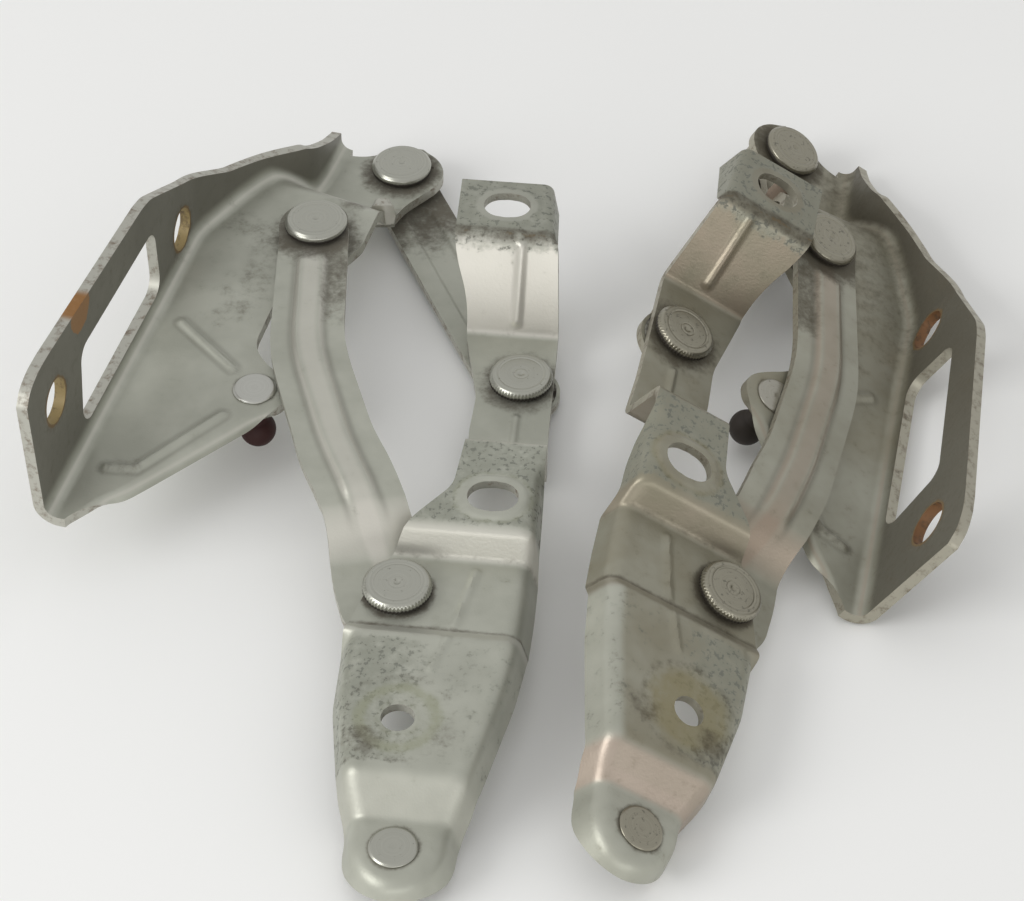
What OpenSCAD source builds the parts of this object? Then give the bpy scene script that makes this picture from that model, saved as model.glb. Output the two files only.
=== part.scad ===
// Pair of four-pivot bonnet hinges, left and right hand, as they lie on a bench.
// Each hinge: body bracket, bonnet arm, long link, short link, four riveted
// pivots with bush and washer, and two ball studs. Millimetres, z up, bench at z = 0.

/* [Linkage] */
// Centre distance of the pivots on the long link; the hinge's plan follows it
long_link_l = 137.4; // [124:0.1:152]
// Fold of the left hinge's long link from its open rest, degrees
left_fold = 0; // [-20:1:20]
// Fold of the right hinge's long link, nearly closed, degrees
right_fold = -25; // [-25:1:0]

/* [Sheet] */
// Sheet thickness of the body bracket
bracket_t = 3; // [2.6:0.1:3.4]
// Sheet thickness of the two links
link_t = 2.6; // [2.4:0.1:2.6]
// Sheet thickness of the bonnet arm
arm_t = 2.5; // [2.2:0.1:2.8]

/* [Levels] */
// Upper face of the bracket's web over the bench
web_z = 23.1; // [21:0.1:25.4]
// Space between the web and the long link, filled by the washer
web_gap = 1.25; // [1.2:0.05:1.6]
// Clearance of the arm's tab over the head of the web rivet
tab_gap = 1.2; // [1:0.1:2.5]
// Height of the raised pad's underside over the web
pad_rise = 1.6; // [1.4:0.1:2.4]
// Drop from the web to the arm's floor at the long link's pivot
seat_drop = 5.1; // [4.9:0.1:5.3]
// Rise from that floor to the front pad with the round bolt hole
front_rise = 2.8; // [2.2:0.1:3.6]
// Drop from the front pad to the tongue with the ball stud
tongue_drop = 8.4; // [7.6:0.1:9]
// Height of the washer under the bracket's ear
ear_gap = 2.5; // [2.3:0.1:3]
// Space between the arm and the link under it, filled by a washer
arm_gap = 0.5; // [0.4:0.05:0.6]

/* [Pivots] */
// Diameter of the rivet heads
head_d = 18; // [16:0.5:19]
// Height of the rivet heads over the sheet, collar included
head_h = 4; // [3.2:0.1:4.2]
// Diameter of the rivet shanks
shank_d = 7; // [6:0.5:8]
// Diameter of the closed rivet tails
tail_d = 16; // [15:0.5:17]
// Height of the tails that stand on the bench
tail_h = 2.25; // [2:0.05:2.6]
// Wall of the pivot bushes
bush_wall = 1; // [0.8:0.1:1.2]
// Running clearance of a shank in its bush, on the radius
run_gap = 0.05; // [0.03:0.01:0.1]
// Clearance of a turning sheet against the part above or below it
face_gap = 0.05; // [0.03:0.01:0.1]
// Free play of the arm pivot in the short link, on the radius
open_gap = 3.5; // [3.4:0.1:3.8]

/* [Bolting] */
// Width of the two bolt slots in the arm
slot_w = 10.5; // [9:0.5:11]
// Length of the two bolt slots in the arm
slot_l = 13.5; // [12:0.5:14]
// Diameter of the round bolt hole in the arm's front pad
bolt_d = 8.4; // [7:0.2:10]
// Diameter of the two bolt holes in the bracket flange
flange_hole_d = 12.5; // [10:0.5:14]

/* [Ball studs] */
// Diameter of the stud heads
stud_head_d = 12; // [11:0.5:13]
// Diameter of the stud shanks in the sheet
stud_shank_d = 8; // [7:0.5:9]
// Ball of the stud on the bracket
bracket_ball_d = 10; // [9:0.5:11]
// Ball of the stud on the tongue
tongue_ball_d = 9; // [8:0.5:9.5]

/* [Bench] */
// Tilt of the right hinge about x as it lies on ear, hook and tongue, degrees
right_tilt = -8.511; // [-9:0.001:-8]
// Roll of the right hinge about y, degrees
right_roll = 28.881; // [28:0.001:30]
// Yaw of the right hinge about z, degrees
right_yaw = -29.211; // [-31:0.001:-28]
// Place of the right hinge's frame along x
right_x = 13.92; // [13.5:0.01:20]
// Place of the right hinge's frame along y
right_y = 30.24; // [26:0.01:34]
// Height of the right hinge's frame over the bench
right_z = 32.822; // [32.822:0.001:36]

/* [Hidden] */
$fn = 48;

steel = [0.72, 0.73, 0.72];
dull = [0.6, 0.6, 0.58];
bright = [0.8, 0.8, 0.79];

// The plan of the hinge grows with the long link
plan_k = long_link_l / 137.4;
bracket_pivot_l = 0.3799 * long_link_l;
short_link_l = 0.722 * long_link_l;
arm_pivot_l = 0.68923 * long_link_l;

// Plane geometry
function pol(r, a) = r * [cos(a), sin(a)];
function ang(p) = atan2(p[1], p[0]);
function unit(p) = p / norm(p);

// The four-bar linkage in the bracket's plane: B and A are the bracket's
// pivots, D and C the arm's pivots on the long and the short link.
B = [-50, 75.6] * plan_k;
A = B + pol(bracket_pivot_l, 64);
function D_at(f) = B + pol(long_link_l, f - 78.54);
function C_at(f) =
    let (d = D_at(f), q = A - d, l = norm(q))
    let (k = (arm_pivot_l * arm_pivot_l - short_link_l * short_link_l + l * l) / (2 * l))
    let (h = sqrt(arm_pivot_l * arm_pivot_l - k * k))
    d + q * k / l + h * [q[1], -q[0]] / l;
// Direction of the arm's pivots in the arm's own frame
arm_dir = 76.87;
function arm_turn(f) = ang(C_at(f) - D_at(f)) - arm_dir;

// Stack heights at the pivots and levels of the upper faces
short_top = tail_h + face_gap + link_t;
floor_z = short_top + arm_gap + arm_t;
ear_z = short_top + ear_gap + bracket_t;
long_top = web_z + web_gap + link_t;
tab_z = long_top + face_gap + head_h + tab_gap + arm_t;
pad_z = web_z + pad_rise + arm_t;
seat_z = web_z - seat_drop;
front_z = seat_z + front_rise;
tongue_z = front_z - tongue_drop;
long_low_top = seat_z - arm_t - arm_gap;
bush_ro = shank_d / 2 + run_gap + bush_wall;
open_ro = shank_d / 2 + open_gap + bush_wall;

// A sheet between an upper and a lower grid of points, closed at its rim.
// A zipped sheet has its last row folded together at the middle.
module sheet(top, low, zip = false) {
    n = len(top);
    m = len(top[0]);
    q = n * m;
    points = concat([for (r = top) for (p = r) p], [for (r = low) for (p = r) p]);
    function cell(i, j) = i * m + (zip && i == n - 1 ? min(j, m - 1 - j) : j);
    function two(a, b, c, d) = [for (t = [[a, b, c], [a, c, d]])
        if (t[0] != t[1] && t[1] != t[2] && t[2] != t[0]) t];
    upper = [for (i = [0:n - 2]) for (j = [0:m - 2])
        each two(cell(i, j), cell(i, j + 1), cell(i + 1, j + 1), cell(i + 1, j))];
    lower = [for (i = [0:n - 2]) for (j = [0:m - 2])
        each two(q + cell(i, j), q + cell(i + 1, j), q + cell(i + 1, j + 1), q + cell(i, j + 1))];
    rims = [for (i = [0:n - 2]) each concat(
        two(cell(i, 0), cell(i + 1, 0), q + cell(i + 1, 0), q + cell(i, 0)),
        two(cell(i, m - 1), q + cell(i, m - 1), q + cell(i + 1, m - 1), cell(i + 1, m - 1)))];
    first = [for (j = [0:m - 2])
        each two(cell(0, j), q + cell(0, j), q + cell(0, j + 1), cell(0, j + 1))];
    last = zip ? [] : [for (j = [0:m - 2])
        each two(cell(n - 1, j), cell(n - 1, j + 1), q + cell(n - 1, j + 1), q + cell(n - 1, j))];
    polyhedron(points, concat(upper, lower, rims, first, last), convexity = 8);
}

// Rounded bend of radius r at corner b of the path a-b-c: [v, z, normal v, normal z]
function bend(a, b, c, r, n = 2) =
    let (p = unit(b - a), s = unit(c - b), w = p[0] * s[1] - p[1] * s[0])
    abs(w) < 0.01 || r == 0 ? [[b[0], b[1], p[1], -p[0]]] :
    let (t = acos(p * s), d = r * tan(t / 2), g = w > 0 ? 1 : -1)
    let (o = b - d * p + r * g * [-p[1], p[0]], a0 = ang(b - d * p - o))
    [for (k = [0:n]) let (e = pol(1, a0 + g * t * k / n)) concat(o + r * e, g * e)];
function profile(path, r) = concat(
    bend(path[0] * 2 - path[1], path[0], path[1], 0),
    [for (i = [1:len(path) - 2]) for (k = bend(path[i - 1], path[i], path[i + 1], r)) k],
    bend(path[len(path) - 2], path[len(path) - 1],
        path[len(path) - 1] * 2 - path[len(path) - 2], 0));

// Bonnet arm, in its own frame: u across, v along towards the tab, origin at D
arm_r = 4.5;
arm_path = [[148.5, tab_z], [138, tab_z], [124, tab_z], [112, floor_z], [86, floor_z],
    [57, floor_z], [49.5, pad_z], [43, pad_z], [37, pad_z], [31, pad_z], [21, pad_z],
    [16.5, pad_z], [13, seat_z], [3, seat_z], [-11.5, seat_z], [-16, front_z],
    [-22, front_z], [-36, front_z], [-60, front_z], [-68, tongue_z], [-72, tongue_z],
    [-76, tongue_z], [-79, tongue_z], [-81.2, tongue_z], [-82.6, tongue_z],
    [-83.3, tongue_z], [-83.5, tongue_z]];
// Outline of the arm seen from above, left and right edge over v
arm_left = [[-84, -0.1], [-76, -3.4], [-68, -4.2], [-58.5, -6.8], [-36, -11.3], [-17, -12],
    [-11.7, -10.8], [-2.4, -8.6], [13, -3.4], [16, 0], [21, 3.2], [31, 10.4], [49, 11.5],
    [71, 9.3], [86, 9.6], [111, 3.6], [116, 3.6], [122, -0.9], [149, -2]];
arm_right = [[-84, 21], [-76, 24.4], [-68, 25.2], [-58, 28.2], [-30, 33.4], [-16, 34.8], [0, 35],
    [16, 34.6], [49, 33.2], [71, 31.3], [112, 30], [124, 28.4], [149, 26.4]];
// Turned-down edges: angle and straight length over v
left_angle = [[-84, 75], [-18, 75], [-14, 0]];
left_len = [[-84, 1.5], [-76, 6], [-18, 6], [-13, 0.4]];
right_angle = [[-84, 75], [12, 75], [17, 82], [33, 82], [48, 0], [123, 0], [127, 80]];
right_len = [[-84, 1.5], [-76, 6], [26, 6], [44, 0.4], [123, 0.4], [127, 3], [149, 9]];
tip_u = 10.4;
tip_half = 7.8;
tip_v0 = -72;
tip_run = 11.5;
// The tab's side is folded sharper than the rolled edges of the arm
function edge_r(v) = v > 100 ? 3 : arm_r;
function edge_out(v, a, l) = edge_r(v) * sin(a) + l * cos(a);
// Half width and outward direction of the tongue's rounded end
function tip_w(v) = tip_half * sqrt(max(0, 1 - pow((tip_v0 - v) / tip_run, 2)));
function tip_a(v) = asin(min(1, (tip_v0 - v) / tip_run));
// One cross row of the arm: g = -1 left, 1 right
function arm_edge(q, g, low) =
    let (v = q[0], a = lookup(v, g < 0 ? left_angle : right_angle))
    let (l = lookup(v, g < 0 ? left_len : right_len), tip = v < tip_v0)
    let (f = tip ? tip_u + g * tip_w(v)
        : lookup(v, g < 0 ? arm_left : arm_right) - g * edge_out(v, a, l))
    let (o = tip ? [g * cos(tip_a(v)), -sin(tip_a(v))] : [g, 0])
    let (r = low ? edge_r(v) - arm_t : edge_r(v), w = low ? arm_t : 0)
    let (c = [f, v - w * q[2], q[1] - w * q[3]])
    [for (k = [0:4]) let (b = a * min(k, 3) / 3, e = k == 4 ? l : 0)
        let (s = r * sin(b) + e * cos(b))
        [c[0] + s * o[0], c[1] + s * o[1], c[2] - r * (1 - cos(b)) - e * sin(b)]];
function flip(l) = [for (i = [len(l) - 1:-1:0]) l[i]];
arm_rows = profile(arm_path, arm_r);
function arm_grid(low) = [for (q = arm_rows)
    concat(flip(arm_edge(q, -1, low)), arm_edge(q, 1, low))];

// Pressed bead along the line a to b, mostly sunk in the sheet
module bead(a, b, r) {
    p = [a[0] * plan_k, a[1] * plan_k, a[2]];
    q = [b[0] * plan_k, b[1] * plan_k, b[2]];
    d = q - p;
    translate(p)
        rotate([0, acos(d[2] / norm(d)), atan2(d[1], d[0])])
            cylinder(h = norm(d), r = r);
}

// Bolt slot along x with round ends
module slot(l, w, h) {
    translate([-(l - w) / 2, 0, 0]) cylinder(h = h, d = w);
    translate([(l - w) / 2, 0, 0]) cylinder(h = h, d = w);
    translate([-(l - w) / 2, -w / 2, 0]) cube([l - w, w, h]);
}

floor_uv = pol(arm_pivot_l, arm_dir);
stud_uv = [9.8, -76.3] * plan_k;
tab_slot = [12.5, 137.3] * plan_k;
pad_slot = [21.3, 27.5] * plan_k;
bolt_uv = [6.4, -43.5] * plan_k;
stamp_h = 0.5;
// Point of the steep rear slope, a little under its face: share of the way down from the tab
function rear_slope(u, k) = [u, 124 - 12 * k, tab_z + (floor_z - tab_z) * k - 0.6];

module bonnet_arm() {
    color(steel)
    difference() {
        union() {
            scale([plan_k, plan_k, 1]) sheet(arm_grid(false), arm_grid(true), zip = true);
            bead(rear_slope(18.3, 0.08), rear_slope(17.9, 0.85), 1.9);
            bead([21.7, 78, floor_z - 0.8], [21.9, 66, floor_z - 0.8], 1.6);
            bead([19.2, 9, seat_z - 0.8], [15.8, -10, seat_z - 0.8], 1.6);
            bead([15, -17, front_z - 0.8], [12.2, -27, front_z - 0.8], 1.6);
            translate([tab_slot[0], tab_slot[1], tab_z - 0.5]) slot(slot_l + 5, slot_w + 5, 0.5 + stamp_h);
            translate([pad_slot[0], pad_slot[1], pad_z - 0.5]) slot(slot_l + 4, slot_w + 4, 0.5 + stamp_h);
        }
        translate([0, 0, seat_z - 8]) cylinder(h = 12, d = shank_d);
        translate([floor_uv[0], floor_uv[1], floor_z - 8]) cylinder(h = 12, d = shank_d);
        translate([stud_uv[0], stud_uv[1], tongue_z - 8]) cylinder(h = 12, d = stud_shank_d);
        translate([bolt_uv[0], bolt_uv[1], front_z - 8]) cylinder(h = 12, d = bolt_d);
        translate([tab_slot[0], tab_slot[1], tab_z - 6]) slot(slot_l, slot_w, 10);
        translate([pad_slot[0], pad_slot[1], pad_z - 6]) slot(slot_l, slot_w, 10);
    }
}

// Body bracket, in its own frame: u across, v along the flange, origin at B
fold_r = 3.5;
// Free edge of the web and the ear over v
web_edge = [[-125, -29.6], [-121, -27], [-112, -17.1], [-106.4, -13.1], [-78, 6.3], [-72.5, 10.2],
    [-69, 12], [-65.5, 12.6], [-62, 11.2], [-58.5, 7.6], [-54, 1.6], [-50, -1.8], [-46, -3],
    [-31, -3.2], [-23, -1], [-16, 4], [-9, 10], [0, 13.5], [29, 14], [36, 16], [42, 19.4],
    [47, 22.2], [51, 23.2], [55, 22.6], [59, 20.2], [62, 16.4], [63.5, 12.6]];
// Start of the flange bend over v, and the height of the flange top over the web
fold_edge = [[-125, -31], [-8, -31], [-4, -29.8], [2, -27.6], [12, -24], [19, -20.8], [23, -18],
    [27, -13.6], [31, -10.2], [36, -8.6], [44, -7.8], [58, -7.3]];
flange_top = [[-125, 36.9], [-124, 39.5], [-121, 41.5], [-116, 42.7], [-110, 42.7], [-42, 37.1],
    [-36, 35.7], [-30, 32.5], [8, 11.9], [22, 7.3], [31, 5.5], [40, 0.9], [50, -4.1], [58, -7.1]];
web_rows = [-125, -124, -121, -116, -112, -106.4, -92, -78, -72.5, -69, -65.5, -62, -58.5, -54, -50,
    -46, -42, -36, -31, -23, -16, -9, 0, 8, 14, 19, 23, 27, 31, 36, 40, 44, 50, 55, 58];
ear_rows = [59, 62, 63.5];
ear_uv = pol(52.2, 78.5);
// Level of the web, which falls to the ear between the two pivots
function ease(x) = let (c = min(1, max(0, x))) c * c * (3 - 2 * c);
function web_at(u, v) =
    let (s = u * cos(78.5) + v * sin(78.5))
    web_z - (web_z - ear_z) * ease((s - 17) / 17);
// Outward direction of the flange, square to its fold line
function fold_dir(v) = unit([-6, lookup(v + 3, fold_edge) - lookup(v - 3, fold_edge)]);
// Turned-down lip along the web's front edge: its angle over v
lip_angle = [[-120, 0], [-114, 62], [-78, 62], [-71, 0]];
lip_r = 4;
lip_len = 0.6;
function lip_row(e, v, w) =
    let (a = lookup(v, lip_angle), r = lip_r - w, u = e - lip_r * sin(a) - lip_len * cos(a))
    [for (k = [3:-1:0]) let (b = a * min(k, 2) / 2, x = k == 3 ? lip_len : 0)
        [u + r * sin(b) + x * cos(b), v, web_at(e, v) - w - r * (1 - cos(b)) - x * sin(b)]];
function web_row(v, low) =
    let (f = lookup(v, fold_edge), e = lookup(v, web_edge), o = fold_dir(v))
    let (r = low ? fold_r + bracket_t : fold_r, w = low ? bracket_t : 0)
    let (z0 = web_at(f, v) - w, h = max(z0 + r + 0.4, web_z + lookup(v, flange_top)))
    let (lip = lip_row(e, v, w), i = lip[3][0])
    concat(lip, [for (k = [1:3]) let (u = i + (f - i) * k / 4) [u, v, web_at(u, v) - w]],
        [for (k = [0:3]) let (b = 90 * k / 3)
            [f + r * sin(b) * o[0], v + r * sin(b) * o[1], z0 + r * (1 - cos(b))]],
        [[f + r * o[0], v + r * o[1], h]]);
function ear_row(v, low) =
    let (e = lookup(v, web_edge), c = 2 * ear_uv[0] - e)
    let (w = low ? bracket_t : 0)
    [for (k = [0:11]) let (u = e + (c - e) * k / 11) [u, v, web_at(u, v) - w]];
function web_grid(low) = concat([for (v = web_rows) web_row(v, low)], [for (v = ear_rows) ear_row(v, low)]);

// Stop lug turned up from the web's edge in front of the ear
lug_uv = [12.4, 25] * plan_k;
lug_path = profile([[9, ear_z + 2], [0, ear_z + 2], [-1.2, ear_z + 11.6]], 4.2);
lug_half = [[ear_z + 1.6, 3.2], [ear_z + 7.6, 2.6], [ear_z + 10.2, 2.2], [ear_z + 11.6, 1]];
function lug_grid(w) = [for (q = lug_path) let (g = lookup(q[1], lug_half))
    [for (k = [1, -1]) [k * g, -q[0] + w * q[2], q[1] - w * q[3]]]];

bracket_stud_uv = [2.8, -65.6] * plan_k;
flange_face = (-31 - fold_r) * plan_k;
hole_rear = [-17 * plan_k, web_z + 9.9];
hole_front = [-109 * plan_k, web_z + 26.4];
window_pts = [[-96 * plan_k, web_z + 3.9], [-36 * plan_k, web_z + 3.3], [-36 * plan_k, web_z + 25.3],
    [-91 * plan_k, web_z + 27.9]];
window_mid = [-65 * plan_k, web_z + 15];
window_r = 5;

// Window in the flange: straight sides with rounded corners
module window_cut() {
    rotate([90, 0, 90])
        linear_extrude(height = 12, center = true) {
            for (p = window_pts)
                let (c = window_mid, d = [p[0] > c[0] ? -1 : 1, p[1] > c[1] ? -1 : 1])
                    translate(p + window_r * d) circle(r = window_r);
            polygon([for (i = [0:3]) let (p = window_pts[i], c = window_mid,
                d = [p[0] > c[0] ? -1 : 1, p[1] > c[1] ? -1 : 1])
                each (i % 2 == 0
                    ? [p + window_r * [0, d[1]], p + window_r * [d[0], 0]]
                    : [p + window_r * [d[0], 0], p + window_r * [0, d[1]]])]);
        }
}

module body_bracket() {
    color(steel)
    difference() {
        union() {
            scale([plan_k, plan_k, 1]) sheet(web_grid(false), web_grid(true));
            translate([lug_uv[0], lug_uv[1], 0]) rotate([0, 0, 194.5]) sheet(lug_grid(0), lug_grid(bracket_t));
            bead([-25.5, -44.6, web_z - 0.8], [-6, -59, web_z - 0.8], 1.7);
            bead([-25.6, -104.2, web_z - 0.8], [-17.9, -102.8, web_z - 0.8], 1.7);
            bead([-17.9, -102.8, web_z - 0.8], [-2.6, -77.6, web_z - 0.8], 1.7);
        }
        cylinder(h = 80, d = shank_d, center = true);
        translate([ear_uv[0] * plan_k, ear_uv[1] * plan_k, 0]) cylinder(h = 80, d = shank_d, center = true);
        translate([bracket_stud_uv[0], bracket_stud_uv[1], 0]) cylinder(h = 80, d = stud_shank_d, center = true);
        translate([-3.4 * plan_k, 61 * plan_k, -10]) cylinder(h = 60, r = 6 * plan_k);
        for (p = [hole_rear, hole_front])
            translate([flange_face, p[0], p[1]]) rotate([0, 90, 0])
                cylinder(h = 16, d = flange_hole_d, center = true);
        translate([flange_face, 0, 0]) window_cut();
    }
}

// Long link, in its own frame: x along from B to D, y to its left
long_mid = [[-12, 0.4], [0, -0.6], [46, -9.6], [56, -10], [88, -8], [118, -3.2], [126, -1], [137, 0], [153, 0]];
long_half = [[-12.4, 2.6], [-11, 6], [-7, 9.2], [-2, 10], [84, 10.6], [96, 11.4], [116, 11], [124, 13.6],
    [131, 15], [140, 14.8], [146, 12.4], [150, 8.6], [152.4, 3]];
long_rows = [-12.4, -11, -7, -2, 9, 14, 30, 42, 50, 58, 74, 88, 98, 104, 108, 110, 112, 114, 116, 118, 120, 122, 123,
    126, 131, 140, 146, 150, 152.4];
// The link lies over the web and steps down under the arm just before its front pivot
step_x0 = 110;
step_x1 = 123;
long_fall = 0.95;
function long_z(x) =
    let (high = long_top - long_fall * min(1, max(0, (x - 104) / (step_x0 - 104))))
    high - (high - long_low_top) * ease((x - step_x0) / (step_x1 - step_x0));
function long_slope(x) = long_z(x + 0.5) - long_z(x - 0.5);
bead_w = 8.2;
bead_h = 1.5;
function long_row(x, low) =
    let (c = lookup(x, long_mid), w = lookup(x, long_half), g = min(bead_w, w * 0.8), s = long_slope(x))
    let (k = bead_h * ease((x - 10) / 5) * ease((114 - x) / 8), n = [s, -1] / norm([s, 1]) * (low ? link_t : 0))
    [for (q = [[w, 0], [g * 0.55, 0], [g * 0.34, k], [-g * 0.34, k], [-g * 0.55, 0], [-w, 0]])
        [x + n[0], c + q[0], long_z(x) + q[1] + n[1]]];

module long_link() {
    color(steel)
    difference() {
        scale([plan_k, plan_k, 1])
            sheet([for (x = flip(long_rows)) long_row(x, false)], [for (x = flip(long_rows)) long_row(x, true)]);
        translate([0, 0, long_top - 8]) cylinder(h = 16, r = bush_ro);
        translate([long_link_l, 0, long_low_top - 8]) cylinder(h = 16, r = bush_ro);
    }
}

// Short link, in its own frame: x along from A to C, with a channel pressed down along its middle
channel_d = 1.1;
channel_ends = [0.17, 0.83] * short_link_l;
module channel(r1, r2, z) {
    for (x = channel_ends)
        translate([x, 0, z]) cylinder(h = channel_d, r1 = r1, r2 = r2);
    translate([channel_ends[0], 0, z]) rotate([90, 0, 90])
        linear_extrude(height = channel_ends[1] - channel_ends[0])
            polygon([[-r1, 0], [r1, 0], [r2, channel_d], [-r2, channel_d]]);
}
module short_link() {
    w = 11;
    color(dull)
    difference() {
        union() {
            translate([0, 0, short_top - link_t]) cylinder(h = link_t, r = w);
            translate([short_link_l, 0, short_top - link_t]) cylinder(h = link_t, r = w);
            translate([0, -w + 1, short_top - link_t]) cube([short_link_l, 2 * w - 2, link_t]);
            channel(4.2, 5.2, short_top - link_t - channel_d);
        }
        channel(3.6, 4.6, short_top - channel_d);
        translate([0, 0, short_top - 8]) cylinder(h = 16, r = bush_ro);
        translate([short_link_l, 0, short_top - 8]) cylinder(h = 16, r = open_ro);
    }
}

// Rivet: head over "top", tail under "low", shank through both
module rivet(top, low, tail_z) {
    r = head_d / 2;
    color(bright)
    rotate_extrude()
        polygon([[0, tail_z], [tail_d / 2 - 0.8, tail_z], [tail_d / 2, tail_z + 0.6], [tail_d / 2, low],
            [shank_d / 2, low], [shank_d / 2, top], [r - 2, top], [r - 2, top + 1.2], [r, top + 1.2],
            [r, top + head_h - 1], [r - 1, top + head_h], [1, top + head_h], [0, top + head_h - 0.7]]);
}

// Ring between two levels
module ring(ri, ro, low, high) {
    translate([0, 0, low])
        difference() {
            cylinder(h = high - low, r = ro);
            translate([0, 0, -1]) cylinder(h = high - low + 2, r = ri);
        }
}

// Ball stud: head over the sheet, collar, neck and ball under it
module ball_stud(top, t, ball_d, ball_z) {
    b = ball_d / 2;
    a = asin(0.62);
    under = top - t;
    color(bright)
    rotate_extrude()
        polygon(concat([[0, top + 0.9], [stud_head_d / 2 - 0.5, top + 0.9], [stud_head_d / 2, top + 0.4],
            [stud_head_d / 2, top], [stud_shank_d / 2, top], [stud_shank_d / 2, under],
            [stud_head_d / 2, under], [stud_head_d / 2, under - 1.4], [b * 0.62, under - 1.4]],
            [for (k = [0:14]) let (e = 90 - a - (180 - a) * k / 14) [b * cos(e), ball_z + b * sin(e)]]));
}

module web_rivet() { rivet(long_top + face_gap, web_z - bracket_t, web_z - bracket_t - 2.4); }
module ear_rivet() { rivet(ear_z, short_top - link_t - face_gap, 0); }
module floor_rivet() { rivet(floor_z, short_top - link_t - face_gap, 0); }
module seat_rivet() { rivet(seat_z, long_low_top - link_t - face_gap, long_low_top - link_t - 2.4); }
bush_ri = shank_d / 2 + run_gap;
module web_bush() { color(dull) ring(bush_ri, bush_ro, long_top - link_t, long_top); }
module seat_bush() { color(dull) ring(bush_ri, bush_ro, long_low_top - link_t, long_low_top); }
module ear_bush() { color(dull) ring(bush_ri, bush_ro, short_top - link_t, short_top); }
module floor_bush() { color(dull) ring(shank_d / 2 + open_gap, open_ro, short_top - link_t, short_top); }
module web_washer() { color(dull) ring(shank_d / 2, 8, web_z, long_top - link_t - face_gap); }
module seat_washer() { color(dull) ring(shank_d / 2, 8, long_low_top + face_gap, seat_z - arm_t); }
module ear_washer() { color(dull) ring(shank_d / 2, 8, short_top + face_gap, ear_z - bracket_t); }
module floor_washer() { color(dull) ring(shank_d / 2, 10, short_top + face_gap, floor_z - arm_t); }
module bracket_stud() { ball_stud(web_z, bracket_t, bracket_ball_d, 3.4 + bracket_ball_d / 2); }
module tongue_stud() { ball_stud(tongue_z, arm_t, tongue_ball_d, tongue_ball_d / 2); }

// Frames of the pieces in a hinge at fold f
module on_web() { translate([B[0], B[1], 0]) rotate([0, 0, -14.5]) children(); }
module at_uv(p) { translate([p[0], p[1], 0]) children(); }
module on_long(f) { translate([B[0], B[1], 0]) rotate([0, 0, f - 78.54]) children(); }
module on_short(f) { translate([A[0], A[1], 0]) rotate([0, 0, ang(C_at(f) - A)]) children(); }
module on_arm(f) { translate([D_at(f)[0], D_at(f)[1], 0]) rotate([0, 0, arm_turn(f)]) children(); }

// Places of the two hinges on the bench
bench_mid = [9.36, -3.801] * plan_k;
module left() {
    translate([-bench_mid[0], -bench_mid[1], 0]) children();
}
module right() {
    translate([right_x * plan_k - bench_mid[0], right_y * plan_k - bench_mid[1], right_z * plan_k])
        rotate([right_tilt, right_roll, right_yaw]) mirror([1, 0, 0]) children();
}

left() on_web() body_bracket();  // left_body_bracket
left() on_arm(left_fold) bonnet_arm();  // left_bonnet_arm
left() on_long(left_fold) long_link();  // left_long_link
left() on_short(left_fold) short_link();  // left_short_link
left() at_uv(A) ear_rivet();  // left_ear_rivet
left() at_uv(B) web_rivet();  // left_web_rivet
left() at_uv(C_at(left_fold)) floor_rivet();  // left_floor_rivet
left() at_uv(D_at(left_fold)) seat_rivet();  // left_seat_rivet
left() at_uv(A) ear_bush();  // left_ear_bush
left() at_uv(B) web_bush();  // left_web_bush
left() at_uv(C_at(left_fold)) floor_bush();  // left_floor_bush
left() at_uv(D_at(left_fold)) seat_bush();  // left_seat_bush
left() at_uv(A) ear_washer();  // left_ear_washer
left() at_uv(B) web_washer();  // left_web_washer
left() at_uv(C_at(left_fold)) floor_washer();  // left_floor_washer
left() at_uv(D_at(left_fold)) seat_washer();  // left_seat_washer
left() on_web() at_uv(bracket_stud_uv) bracket_stud();  // left_bracket_stud
left() on_arm(left_fold) at_uv(stud_uv) tongue_stud();  // left_tongue_stud
right() on_web() body_bracket();  // right_body_bracket
right() on_arm(right_fold) bonnet_arm();  // right_bonnet_arm
right() on_long(right_fold) long_link();  // right_long_link
right() on_short(right_fold) short_link();  // right_short_link
right() at_uv(A) ear_rivet();  // right_ear_rivet
right() at_uv(B) web_rivet();  // right_web_rivet
right() at_uv(C_at(right_fold)) floor_rivet();  // right_floor_rivet
right() at_uv(D_at(right_fold)) seat_rivet();  // right_seat_rivet
right() at_uv(A) ear_bush();  // right_ear_bush
right() at_uv(B) web_bush();  // right_web_bush
right() at_uv(C_at(right_fold)) floor_bush();  // right_floor_bush
right() at_uv(D_at(right_fold)) seat_bush();  // right_seat_bush
right() at_uv(A) ear_washer();  // right_ear_washer
right() at_uv(B) web_washer();  // right_web_washer
right() at_uv(C_at(right_fold)) floor_washer();  // right_floor_washer
right() at_uv(D_at(right_fold)) seat_washer();  // right_seat_washer
right() on_web() at_uv(bracket_stud_uv) bracket_stud();  // right_bracket_stud
right() on_arm(right_fold) at_uv(stud_uv) tongue_stud();  // right_tongue_stud
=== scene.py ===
"""Pair of four-pivot bonnet hinges, left and right hand, lying on a pale bench.

Every sheet is a surface over two parameters in the frame of its own piece, in
millimetres, carried to the bench by the same turn and shift as the CAD part.
"""
import math

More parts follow.
